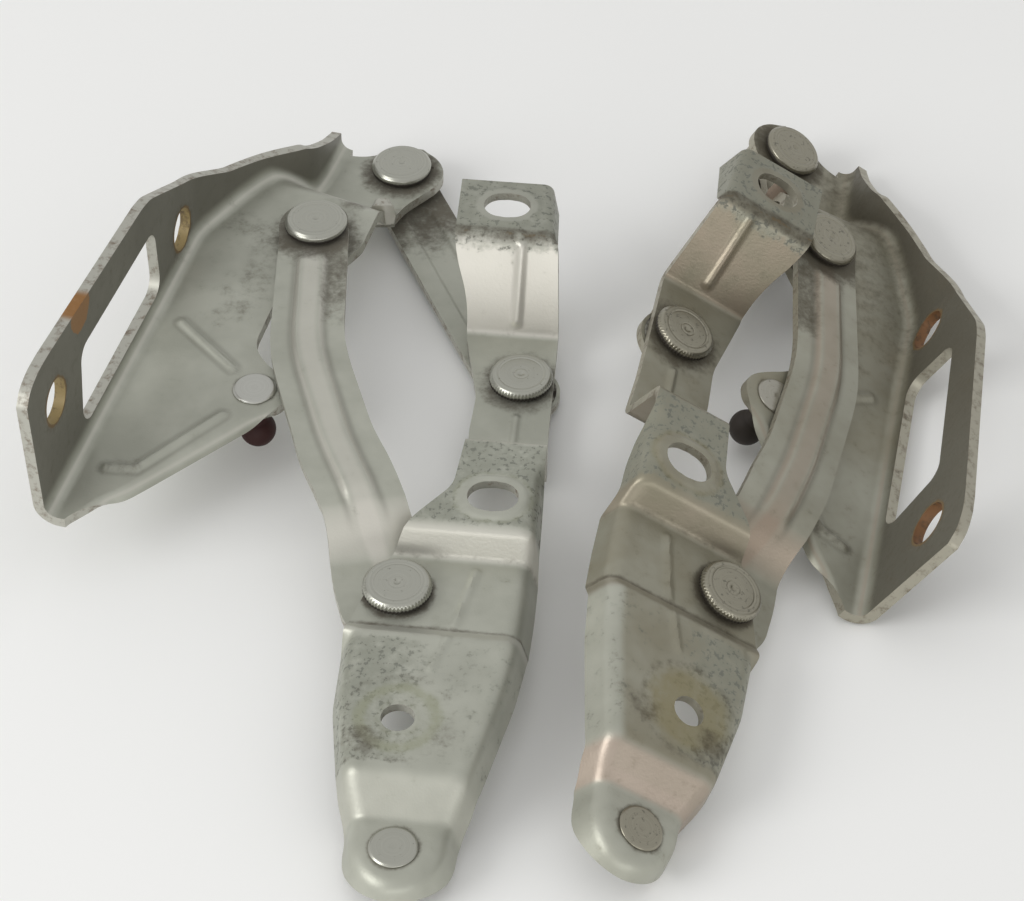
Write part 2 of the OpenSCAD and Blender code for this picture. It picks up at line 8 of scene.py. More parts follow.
import bmesh
import bpy
import numpy as np
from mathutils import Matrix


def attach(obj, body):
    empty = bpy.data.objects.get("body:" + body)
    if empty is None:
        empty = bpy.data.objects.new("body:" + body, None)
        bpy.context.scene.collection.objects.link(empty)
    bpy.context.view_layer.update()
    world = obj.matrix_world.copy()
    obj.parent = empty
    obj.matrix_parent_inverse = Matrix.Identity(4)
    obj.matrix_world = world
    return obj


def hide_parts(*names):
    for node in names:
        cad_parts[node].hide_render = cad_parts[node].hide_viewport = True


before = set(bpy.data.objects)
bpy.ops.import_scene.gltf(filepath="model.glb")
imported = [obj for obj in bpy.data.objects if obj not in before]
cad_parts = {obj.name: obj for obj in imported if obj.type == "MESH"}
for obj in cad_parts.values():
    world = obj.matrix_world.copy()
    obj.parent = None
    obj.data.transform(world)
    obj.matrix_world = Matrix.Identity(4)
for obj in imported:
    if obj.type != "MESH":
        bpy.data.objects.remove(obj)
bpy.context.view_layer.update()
scene = bpy.context.scene
scene.view_settings.view_transform = "Standard"

# ---- linkage
MM, MM_PER_M = 0.001, 1000
LONG_L, SHORT_L, ARM_L, BRACKET_L = 137.4, 99.2, 94.7, 52.2
# Upper faces of the bracket's and the arm's levels
WEB_Z, EAR_Z, TAB_Z, FLOOR_Z = 23.1, 10.4, 34.7, 7.9
PAD_Z, SEAT_Z, FRONT_Z, TONGUE_Z = 27.2, 18.0, 20.8, 12.4
BRACKET_T, LINK_T, ARM_T = 3.0, 2.6, 2.5
# Air between two sheets at a washer, and between faces that slide
SHEET_GAP, WEB_GAP, FACE_GAP = 0.5, 1.25, 0.05
SHORT_TOP = FLOOR_Z - ARM_T - SHEET_GAP
LONG_LOW = SEAT_Z - ARM_T - SHEET_GAP
LONG_TOP = WEB_Z + WEB_GAP + LINK_T
# Directions of bracket, ear, long link and arm, and each hinge's fold at rest, in degrees
BRACKET_TURN, EAR_DIR, LONG_DIR, ARM_DIR = -14.5, 78.5, -78.54, 76.87
FOLD = {"left": 0.0, "right": -25.0}
BENCH_MID = np.array([9.36, -3.801, 0.0])


def polar(r, degrees):
    """Point at distance r in a direction of the plane."""
    return r * np.array([math.cos(math.radians(degrees)), math.sin(math.radians(degrees))])


def heading(p):
    """Direction of a plane vector, in degrees."""
    return math.degrees(math.atan2(p[1], p[0]))


WEB_AT = np.array([-50.0, 75.6])
EAR_AT = WEB_AT + polar(BRACKET_L, EAR_DIR + BRACKET_TURN)
EAR_UV = polar(BRACKET_L, EAR_DIR)
FLOOR_UV = polar(ARM_L, ARM_DIR)


def front_pivot(fold):
    """Long link's front pivot: its length from the web pivot in the fold's direction."""
    return WEB_AT + polar(LONG_L, fold + LONG_DIR)


def floor_pivot(fold):
    """Where circles of the arm's and the short link's length meet, right of the line from the
    front pivot to the ear pivot."""
    d = front_pivot(fold)
    q = EAR_AT - d
    l = np.linalg.norm(q)
    k = (ARM_L ** 2 - SHORT_L ** 2 + l * l) / (2 * l)
    h = math.sqrt(ARM_L ** 2 - k * k)
    return d + q * k / l + h * np.array([q[1], -q[0]]) / l


def turn(axis, degrees):
    """Turn matrix about x, y or z."""
    c, s = polar(1, degrees)
    i, j = [(1, 2), (2, 0), (0, 1)][axis]
    m = np.eye(3)
    m[i, i] = m[j, j] = c
    m[i, j], m[j, i] = -s, s
    return m


RIGHT_YAW, RIGHT_ROLL, RIGHT_TILT = -29.211, 28.881, -8.511
RIGHT_TURN = (turn(2, RIGHT_YAW) @ turn(1, RIGHT_ROLL) @ turn(0, RIGHT_TILT)
              @ np.diag([-1.0, 1.0, 1.0]))
RIGHT_AT = np.array([13.92, 30.24, 32.822])


def to_bench(side, origin, degrees, points):
    """Piece frame to bench, in metres: turned and moved in the hinge's plane, and the right
    hinge then mirrored, tilted and set down."""
    p = points @ turn(2, degrees).T + np.array([origin[0], origin[1], 0.0])
    if side == "right":
        p = p @ RIGHT_TURN.T + RIGHT_AT
    return (p - BENCH_MID) * MM


def ease(x):
    """Smooth step from 0 to 1."""
    c = np.clip(x, 0, 1)
    return c * c * (3 - 2 * c)


def along(rows, x, blur=0.0):
    """Table of (place, value) read at x by straight lines, averaged over a window of half
    width blur so that its corners come out round."""
    xs, ys = np.array(rows, float).T
    return np.mean([np.interp(x + s, xs, ys) for s in np.linspace(-blur, blur, 9)], axis=0)


def to_segment(p, a, b):
    """Distance of points p from the straight line piece a to b."""
    a, b = np.array(a, float), np.array(b, float)
    n = len(a)
    d = b - a
    t = np.clip(((p[..., :n] - a) @ d) / (d @ d), 0, 1)
    return np.linalg.norm(p[..., :n] - a - t[..., None] * d, axis=-1)


def unit(v):
    """Vectors scaled to length 1."""
    return v / np.maximum(np.linalg.norm(v, axis=-1, keepdims=True), 1e-9)


def surface(x, y, z):
    """Points from arrays of their three coordinates, spread over each other."""
    return np.stack(np.broadcast_arrays(x, y, z), -1)


# ---- meshes
# Margins of the cells taken out round a hole and a slot, and how level a hole's cells are
HOLE_MARGIN, SLOT_MARGIN, LEVEL_TOL = 2.2, 3.0, 0.01
# Points this close, in metres, become one, and edges sharper than this get rounded
WELD, SHARP = 2e-6, math.radians(50)
THIN_ROUND, THICK_ROUND = 0.35, 0.4


def stadium(centre, length, width, count=720):
    """Closed outline of a slot along the first axis: a circle of the slot's width, its halves
    moved apart."""
    a = np.linspace(0, 2 * np.pi, count, endpoint=False)
    shift = np.sign(np.cos(a)) * (length - width) / 2
    return np.stack([centre[0] + shift + width / 2 * np.cos(a),
                     centre[1] + width / 2 * np.sin(a)], 1)


def cells(index):
    """Four-sided faces of a grid of point numbers, facing along the cross product of its first
    and second differences."""
    return np.stack([index[:-1, :-1], index[1:, :-1], index[1:, 1:], index[:-1, 1:]], -1)


def punch(grid, normal, flat, holes, rings=7):
    """Cuts holes in a grid of points. Around each hole a block of flat cells is taken out and
    filled with rings, whose points go in straight lines from the block's rim to the hole's
    outline. flat holds the two coordinates in which the holes are drawn. A hole brings its
    outline, the margin of its block and the points of the grid that may lie in the block."""
    rows, cols = grid.shape[:2]
    points, normals = [grid.reshape(-1, 3)], [normal.reshape(-1, 3)]
    index = np.arange(rows * cols).reshape(rows, cols)
    keep = np.ones((rows - 1, cols - 1), bool)
    faces = []
    base = rows * cols
    for outline, margin, where in holes:
        centre = (outline.min(0) + outline.max(0)) / 2
        low, high = outline.min(0) - margin, outline.max(0) + margin
        i, j = np.nonzero(np.all((flat > low) & (flat < high), axis=-1) & where)
        i0, i1, j0, j1 = i.min() - 1, i.max() + 1, j.min() - 1, j.max() + 1
        keep[i0:i1, j0:j1] = False
        rim = np.concatenate([index[i0, j0:j1], index[i0:i1, j1],
                              index[i1, j1:j0:-1], index[i1:i0:-1, j0]])
        start = points[0][rim]
        d = flat.reshape(-1, 2)[rim] - centre
        o = outline - centre
        angle = np.arctan2(o[:, 1], o[:, 0])
        order = np.argsort(angle)
        reach = np.interp(np.arctan2(d[:, 1], d[:, 0]), angle[order],
                          np.linalg.norm(o, axis=1)[order], period=2 * np.pi)
        scale = (reach / np.linalg.norm(d, axis=1))[:, None]
        middle = start - d @ flat_axes(grid, flat, i0, i1, j0, j1)
        end = middle + (start - middle) * scale
        ring = start + (end - start) * (np.arange(1, rings + 1) / rings)[:, None, None]
        n = len(rim)
        points.append(ring.reshape(-1, 3))
        normals.append(np.tile(normals[0][rim], (rings, 1)))
        layer = np.concatenate([rim[None], base + np.arange(rings * n).reshape(rings, n)])
        faces.append(cells(np.concatenate([layer, layer[:, :1]], 1)).reshape(-1, 4))
        base += rings * n
    faces = np.concatenate([cells(index)[keep]] + faces)
    return np.concatenate(points), np.concatenate(normals), faces


def flat_axes(grid, flat, i0, i1, j0, j1):
    """The two directions in space of a flat block's drawing axes, by least squares over its
    corners."""
    corner = np.array([[i0, j0], [i0, j1], [i1, j1], [i1, j0]])
    f = flat[corner[:, 0], corner[:, 1]]
    g = grid[corner[:, 0], corner[:, 1]]
    return np.linalg.lstsq(f - f.mean(0), g - g.mean(0), rcond=None)[0]


def grid_normals(grid):
    """Unit normals of a grid: cross product of its first and second differences."""
    return unit(np.cross(np.gradient(grid, axis=0), np.gradient(grid, axis=1)))


def piece(name, side, body, replaced, materials, points, faces, marks, wall=0.0,
          rounding=0.0):
    """Puts points and faces into a mesh object that stands for a CAD node. A sheet gets its wall
    under the upper face, with the second material on its sheared edge, and rounded edges."""
    used, faces = np.unique(faces, return_inverse=True)
    faces = faces.reshape(-1, 4)
    if side == "right":
        faces = faces[:, ::-1]
    mesh = bpy.data.meshes.new(name)
    mesh.vertices.add(len(used))
    mesh.vertices.foreach_set("co", points[used].astype(np.float32).ravel())
    mesh.loops.add(faces.size)
    mesh.loops.foreach_set("vertex_index", faces.astype(np.int32).ravel())
    mesh.polygons.add(len(faces))
    mesh.polygons.foreach_set("loop_start", np.arange(0, faces.size, 4, dtype=np.int32))
    mesh.polygons.foreach_set("use_smooth", np.ones(len(faces), bool))
    for mark, value in marks.items():
        layer = mesh.attributes.new(mark, "FLOAT", "POINT")
        layer.data.foreach_set("value", np.clip(value[used], 0, 1).astype(np.float32))
    mesh.update(calc_edges=True)
    weld = bmesh.new()
    weld.from_mesh(mesh)
    bmesh.ops.remove_doubles(weld, verts=weld.verts, dist=WELD)
    weld.to_mesh(mesh)
    weld.free()
    mesh.validate()
    for material in materials:
        mesh.materials.append(material)
    obj = bpy.data.objects.new(name, mesh)
    scene.collection.objects.link(obj)
    if wall:
        m = obj.modifiers.new("wall", "SOLIDIFY")
        m.thickness, m.offset, m.material_offset_rim = wall * MM, -1, 1
    if rounding:
        m = obj.modifiers.new("edges", "BEVEL")
        m.width, m.segments = rounding * MM, 2
        m.limit_method, m.angle_limit = "ANGLE", SHARP
        m.harden_normals = True
    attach(obj, body)
    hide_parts(replaced)


def rounded_path(corners, left_r, right_r, step):
    """Straight runs with one arc at each corner, of one radius where the path turns left and
    another where it turns right, resampled at an even step along its length."""
    c = np.array(corners, float)
    runs = [c[:1]]
    for a, b, d in zip(c, c[1:], c[2:]):
        p, q = unit(b - a), unit(d - b)
        side = np.sign(p[0] * q[1] - p[1] * q[0])
        radius = left_r if side > 0 else right_r
        bend = math.acos(np.clip(p @ q, -1, 1))
        across = side * np.array([-p[1], p[0]])
        middle = b - radius * math.tan(bend / 2) * p + radius * across
        start = math.atan2(-across[1], -across[0])
        w = start + side * bend * np.linspace(0, 1, 16)
        runs.append(middle + radius * np.stack([np.cos(w), np.sin(w)], 1))
    line = np.concatenate(runs + [c[-1:]])
    s = np.concatenate([[0], np.cumsum(np.linalg.norm(np.diff(line, axis=0), axis=1))])
    even = np.linspace(0, s[-1], int(s[-1] / step) + 1)
    return np.stack([np.interp(even, s, line[:, 0]), np.interp(even, s, line[:, 1])], 1)


# ---- bonnet arm
ARM_R, TAB_R, CREST_R, VALLEY_R = 4.5, 3.0, 3.6, 1.6
REAR_TOP_V, REAR_LOW_V = 124, 112
ARM_CORNERS = [
    (148.5, TAB_Z), (REAR_TOP_V, TAB_Z), (REAR_LOW_V, FLOOR_Z), (57, FLOOR_Z), (49.5, PAD_Z),
    (16.5, PAD_Z), (13, SEAT_Z), (-11.5, SEAT_Z), (-16, FRONT_Z), (-60, FRONT_Z),
    (-68, TONGUE_Z), (-72, TONGUE_Z)]
# Outline seen from above, left and right edge over v
ARM_LEFT = [
    (-84, -0.1), (-76, -3.4), (-68, -4.2), (-58.5, -6.8), (-36, -11.3), (-17, -12),
    (-11.7, -10.8), (-2.4, -8.6), (13, -3.4), (16, 0), (21, 3.2), (31, 10.4), (49, 11.5),
    (71, 9.3), (86, 9.6), (111, 3.6), (116, 3.6), (122, -0.9), (149, -2)]
ARM_RIGHT = [
    (-84, 21), (-76, 24.4), (-68, 25.2), (-58, 28.2), (-30, 33.4), (-16, 34.8), (0, 35),
    (16, 34.6), (49, 33.2), (71, 31.3), (112, 30), (124, 28.4), (149, 26.4)]
# Turned-down edges: angle and straight length over v
LEFT_ANGLE = [(-84, 75), (-18, 75), (-14, 0)]
LEFT_LEN = [(-84, 1.5), (-76, 6), (-18, 6), (-13, 0.4)]
RIGHT_ANGLE = [(-84, 75), (12, 75), (17, 82), (33, 82), (48, 0), (123, 0), (127, 80)]
RIGHT_LEN = [(-84, 1.5), (-76, 6), (26, 6), (44, 0.4), (123, 0.4), (127, 3), (149, 9)]
TIP_U, TIP_HALF, TIP_V, TIP_RUN, TIP_BLEND = 10.4, 7.8, -72.0, 11.5, 10
STUD_UV, BOLT_UV = (9.8, -76.3), (6.4, -43.5)
TAB_SLOT, PAD_SLOT = (12.5, 137.3), (21.3, 27.5)
SLOT_L, SLOT_W, BOLT_D, SHANK_D, STUD_D = 13.5, 10.5, 8.4, 7.0, 8.0
# Where the tab's sharper fold begins, and how far the tables' corners are rounded
TAB_V, OUTLINE_BLUR, EDGE_BLUR = 100, 2.5, 1.5
ARM_STEP, TIP_ROWS, ARC_COLS, FLAT_COLS = 0.7, 30, 10, 42
EDGE_COLS = 2 * ARC_COLS - 1


def arm_edge(v, z, g):
    """One turned-down edge of the arm, g = -1 left or 1 right: from the fold line an arc,
    sharper at the tab, and then a straight lip. On the tongue the fold line is half an ellipse
    and the edge turns outwards along its normal."""
    bend_r = np.where(v > TAB_V, TAB_R, ARM_R)
    a = np.radians(along(LEFT_ANGLE if g < 0 else RIGHT_ANGLE, v, EDGE_BLUR))
    l = along(LEFT_LEN if g < 0 else RIGHT_LEN, v, EDGE_BLUR)
    beta = np.arcsin(np.clip((TIP_V - v) / TIP_RUN, 0, 1))
    outline = along(ARM_LEFT if g < 0 else ARM_RIGHT, v, OUTLINE_BLUR)
    table = outline - g * (bend_r * np.sin(a) + l * np.cos(a))
    blend = ease((TIP_V + TIP_BLEND - v) / TIP_BLEND)
    fold = table * (1 - blend) + (TIP_U + g * TIP_HALF * np.cos(beta)) * blend
    t = np.linspace(0, 1, ARC_COLS)
    b = a[:, None] * np.concatenate([t, np.ones(ARC_COLS - 1)])
    run = l[:, None] * np.concatenate([np.zeros(ARC_COLS), t[1:]])
    out = bend_r[:, None] * np.sin(b) + run * np.cos(a)[:, None]
    down = bend_r[:, None] * (1 - np.cos(b)) + run * np.sin(a)[:, None]
    return fold, surface(fold[:, None] + g * out * np.cos(beta)[:, None],
                         v[:, None] - out * np.sin(beta)[:, None], z[:, None] - down)


def rear_slope(u, k):
    """Point of the steep rear slope, at a share of the way down from the tab."""
    return (u, REAR_TOP_V + (REAR_LOW_V - REAR_TOP_V) * k, TAB_Z + (FLOOR_Z - TAB_Z) * k)


def slot_distance(points, centre):
    """Distance of points from the rim of a bolt slot, below 0 inside it."""
    h = (SLOT_L - SLOT_W) / 2
    return to_segment(points, (centre[0] - h, centre[1]), (centre[0] + h, centre[1])) - SLOT_W / 2


def bonnet_arm(side, sheet, at, bent):
    """Arm as a surface over the length of its bent profile and the way across it."""
    path = rounded_path(ARM_CORNERS, CREST_R, VALLEY_R, ARM_STEP)
    beta = np.radians(np.linspace(2, 90, TIP_ROWS))
    v = np.concatenate([path[:, 0], TIP_V - TIP_RUN * np.sin(beta)])
    z = np.concatenate([path[:, 1], np.full(TIP_ROWS, TONGUE_Z)])
    left, l_edge = arm_edge(v, z, -1)
    right, r_edge = arm_edge(v, z, 1)
    k = np.linspace(0, 1, FLAT_COLS + 2)[1:-1]
    flat = surface(left[:, None] + (right - left)[:, None] * k, v[:, None], z[:, None])
    grid = np.concatenate([l_edge[:, ::-1], flat, r_edge], 1)
    slope = np.zeros_like(grid)
    g = unit(np.gradient(np.stack([v, z], 1), axis=0))
    slope[..., 1], slope[..., 2] = g[:, 1][:, None], -g[:, 0][:, None]
    col = np.arange(grid.shape[1])
    on_flat = (col >= EDGE_COLS) & (col < EDGE_COLS + FLAT_COLS)
    at_level = lambda level: (np.abs(grid[..., 2] - level) < LEVEL_TOL) & on_flat
    circle = lambda c, d, level: (stadium(c, d, d), HOLE_MARGIN, at_level(level))
    slot = lambda c, level: (stadium(c, SLOT_L, SLOT_W), SLOT_MARGIN, at_level(level))
    holes = [slot(TAB_SLOT, TAB_Z), slot(PAD_SLOT, PAD_Z), circle(BOLT_UV, BOLT_D, FRONT_Z),
             circle((0, 0), SHANK_D, SEAT_Z), circle(FLOOR_UV, SHANK_D, FLOOR_Z),
             circle(STUD_UV, STUD_D, TONGUE_Z)]
    p, n, faces = punch(grid, slope, grid[..., :2], holes)
    # Beads, each from end to end with its width and height, are smooth humps over the
    # distance to a line, and each slot has a raised rim
    beads = ((rear_slope(18.3, 0.08), rear_slope(17.9, 0.85), 2.0, 1.1),
             ((21.7, 78), (21.9, 66), 1.7, 0.9), ((19.2, 9), (15.8, -10), 1.7, 0.9),
             ((15, -17), (12.2, -27), 1.7, 0.9))
    rise = sum(height * ease(1 - to_segment(p, a, b) / width) for a, b, width, height in beads)
    for centre, band in ((TAB_SLOT, 2.5), (PAD_SLOT, 2.0)):
        rim = ease((band + 0.8 - slot_distance(p, centre)) / 0.8)
        rise += 0.5 * rim * (np.abs(p[:, 1] - centre[1]) < 14)
    p = p + n * rise[:, None]
    u, v = p[:, 0], p[:, 1]
    near = lambda c, r, w: ease((r + w - np.hypot(u - c[0], v - c[1])) / w)
    belt = lambda v0, v1, w: ease((v - v0) / w) * ease((v1 - v) / w)
    bolt_r = np.hypot(u - BOLT_UV[0], v - BOLT_UV[1])
    seat_ring = lambda r, w: ease(1 - np.abs(bolt_r - r) / w)
    tab_r, pad_r = slot_distance(p, TAB_SLOT), slot_distance(p, PAD_SLOT)
    corner = ease((17 - bolt_r) / 4) * ease((BOLT_UV[0] - u) / 6) * ease((BOLT_UV[1] - v) / 6)
    flank = ease((u - along(ARM_RIGHT, v, OUTLINE_BLUR) + 7) / 3) * belt(-70, -14, 3)
    # The flank and the tongue are kept clear of the film, so they come out lighter
    film_free = np.maximum.reduce([flank, ease((-62 - v) / 4), 0.8 * belt(-70, -59, 2)])
    # Less painted sheen on the left hinge's tongue slope
    less_sheen = 0.5 * (side == "left") * belt(-70, -58, 2)
    soaked = 1.0 if side == "right" else 0.3
    marks = {
        # Dirt round the pivots and the stud and round the front bolt's seat; in the bends, dirt
        # along the tab's fold and painted shade in the valley folds and at the foot of the rear
        # slope
        "grime_and_shade": np.maximum.reduce([
            near((0, 0), 8.6, 2.5), near(FLOOR_UV, 8.6, 7) * 0.8, near(STUD_UV, 5.8, 1.6) * 0.8,
            belt(-13, -10.2, 1.2) * 0.75, belt(55.5, 58.5, 1.2) * 0.6, belt(12, 14.2, 1) * 0.3,
            belt(122.5, 129, 2) * 0.75, belt(110, 114, 1.5) * 0.12, seat_ring(13.4, 2.2) * 0.4,
            corner * 0.6, near((BOLT_UV[0] + 12, BOLT_UV[1] - 5), 2, 5) * 0.5,
            belt(-58.5, -55, 2) * ease((16 - u) / 6) * 0.5]),
        # Painted sheen on the slopes, most of all the rear one, less on the left tongue's slope
        "painted_sheen": np.clip((1 - n[:, 2]) * 3, 0, 1) * (0.7 + 0.3 * belt(110, 126, 1) - less_sheen),
        # On the three bolted pads, outside the slots' rims
        "corrosion": np.maximum.reduce([
            belt(-59, -16, 3) * (0.3 + 0.5 * ease((14 - u) / 14)), belt(16, 50, 3) * 0.8,
            belt(121, 151, 2) * 0.8]) * ease((np.minimum(tab_r + 1.2, pad_r) - 2.2) / 1.5),
        # Where the front bolt's washer sat, and round the raised pad's slot
        "stain": np.maximum.reduce([
            seat_ring(9.4, 3.4), seat_ring(5.2, 1.4) * 0.5,
            ease(1 - np.abs(pad_r - 3.4) / 1.6) * 0.6, ease((17 - bolt_r) / 10) * soaked]),
        "tarnish_and_shade": belt(125, 151, 2) * 0.25,
        # All over the right hinge's arm but for its flank and tongue
        "film": (1 - 0.85 * film_free) * (side == "right"),
        "rust": belt(124, 127, 1.5) * 0.45}
    piece(side + "_arm_pressing", side, side + "_arm", side + "_bonnet_arm",
          sheet, to_bench(side, at, bent, p), faces, marks, ARM_T, THIN_ROUND)


# ---- body bracket
FOLD_R, LIP_R, LIP_LEN = 3.5, 4.0, 0.6
# Over v: the web's free edge, the fold line, the flange's top above the web, the lip's angle
WEB_EDGE = [
    (-125, -29.6), (-121, -27), (-112, -17.1), (-106.4, -13.1), (-78, 6.3), (-72.5, 10.2),
    (-69, 12), (-65.5, 12.6), (-62, 11.2), (-58.5, 7.6), (-54, 1.6), (-50, -1.8), (-46, -3),
    (-31, -3.2), (-23, -1), (-16, 4), (-9, 10), (0, 13.5), (29, 14), (36, 16), (42, 19.4),
    (47, 22.2), (51, 23.2), (55, 22.6), (59, 20.2), (62, 16.4), (63.5, 12.6)]
FOLD_EDGE = [
    (-125, -31), (-8, -31), (-4, -29.8), (2, -27.6), (12, -24), (19, -20.8), (23, -18),
    (27, -13.6), (31, -10.2), (36, -8.6), (44, -7.8), (58, -7.3)]
FLANGE_TOP = [
    (-125, 36.9), (-124, 39.5), (-121, 41.5), (-116, 42.7), (-110, 42.7), (-42, 37.1),
    (-36, 35.7), (-30, 32.5), (8, 11.9), (22, 7.3), (31, 5.5), (40, 0.9), (50, -4.1), (58, -7.1)]
LIP_ANGLE = [(-120, 0), (-114, 62), (-78, 62), (-71, 0)]
WEB_BLUR, FOLD_BLUR, LIP_BLUR = 1.6, 2.5, 2
BRACKET_STUD, FLANGE_HOLE = (2.8, -65.6), 12.5
HOLE_REAR, HOLE_FRONT = (-17.0, WEB_Z + 9.9), (-109.0, WEB_Z + 26.4)
WINDOW, WINDOW_R = [(-96, 4.2), (-36, 3.9), (-36, 25.3), (-91, 27.9)], 5
FRONT_BEAD = (-25.6, -104.2), (-17.9, -102.8)
WEB_BEADS = (((-25.5, -44.6), (-6, -59)), FRONT_BEAD, ((-17.9, -102.8), (-2.6, -77.6)))
# Along the bracket: front end, end of the front corner, start of the ear, ends of flange and ear
FRONT_V, CORNER_V, EAR_V, FLANGE_V, REAR_V = -125, -112, 55.0, 58.2, 63.5
NOTCH_DEEP, NOTCH_WIDE, FALL_AT, FALL_RUN = 6.0, 10.0, 17, 17
LIP_COLS, WEB_COLS, BEND_COLS, WALL_COLS = 10, 49, 11, 39
WEB_END = LIP_COLS + WEB_COLS - 1
WALL_START = WEB_END + BEND_COLS
# Stop lug: rounding of its top, bend at its foot, step along it and place
LUG_TOP_R, LUG_BEND, LUG_STEP, LUG_AT = 1.9, 3.2, 0.3, np.array([12.4, 25.0, 0.0])


def web_level(u, v):
    """Level of the web, which falls to the ear along the line of the two pivots."""
    c, s = polar(1, EAR_DIR)
    return WEB_Z - (WEB_Z - EAR_Z) * ease((u * c + v * s - FALL_AT) / FALL_RUN)


def rounded_corners(points, radius, count=40):
    """Closed outline with an arc at each corner, of one radius, tangent to both sides."""
    c = np.array(points, float)
    out = []
    for a, b, d in zip(np.roll(c, 1, 0), c, np.roll(c, -1, 0)):
        p, q = unit(a - b), unit(d - b)
        half = math.acos(np.clip(p @ q, -1, 1)) / 2
        cut = radius / math.tan(half)
        s, e = b + p * cut, b + q * cut
        m = b + unit(p + q) * radius / math.sin(half)
        arc = s + (e - s) * np.linspace(0, 1, count)[:, None] - m
        out.append(m + unit(arc) * radius)
        far = d + unit(b - d) * cut
        out.append(e + (far - e) * np.linspace(0.02, 0.98, 60)[:, None])
    return np.concatenate(out)


def stop_lug():
    """Stop lug in front of the ear: a strip along a bent profile, a little arched across, whose
    columns end lower towards its sides so that the top comes out round."""
    path = rounded_path([(-3.4, EAR_Z + 2), (0, EAR_Z + 2), (1.2, EAR_Z + 11.6)],
                        LUG_BEND, LUG_BEND, LUG_STEP)
    n = np.arange(len(path))
    k = np.linspace(1, -1, 25)
    cut = LUG_TOP_R * (1 - np.sqrt(1 - np.clip((np.abs(k) - 0.2) / 0.8, 0, 1) ** 2))
    row = n[:, None] * (1 - cut / (LUG_STEP * n[-1]))
    away, z = np.interp(row, n, path[:, 0]), np.interp(row, n, path[:, 1])
    half = along([(1.6, 3.2), (7.6, 2.5), (11.6, 2.3)], z - EAR_Z)
    grid = surface(half * k, away - 0.5 * ease((z - EAR_Z - 2.5) / 4) * k * k, z)
    return grid @ turn(2, 180 - BRACKET_TURN).T + LUG_AT


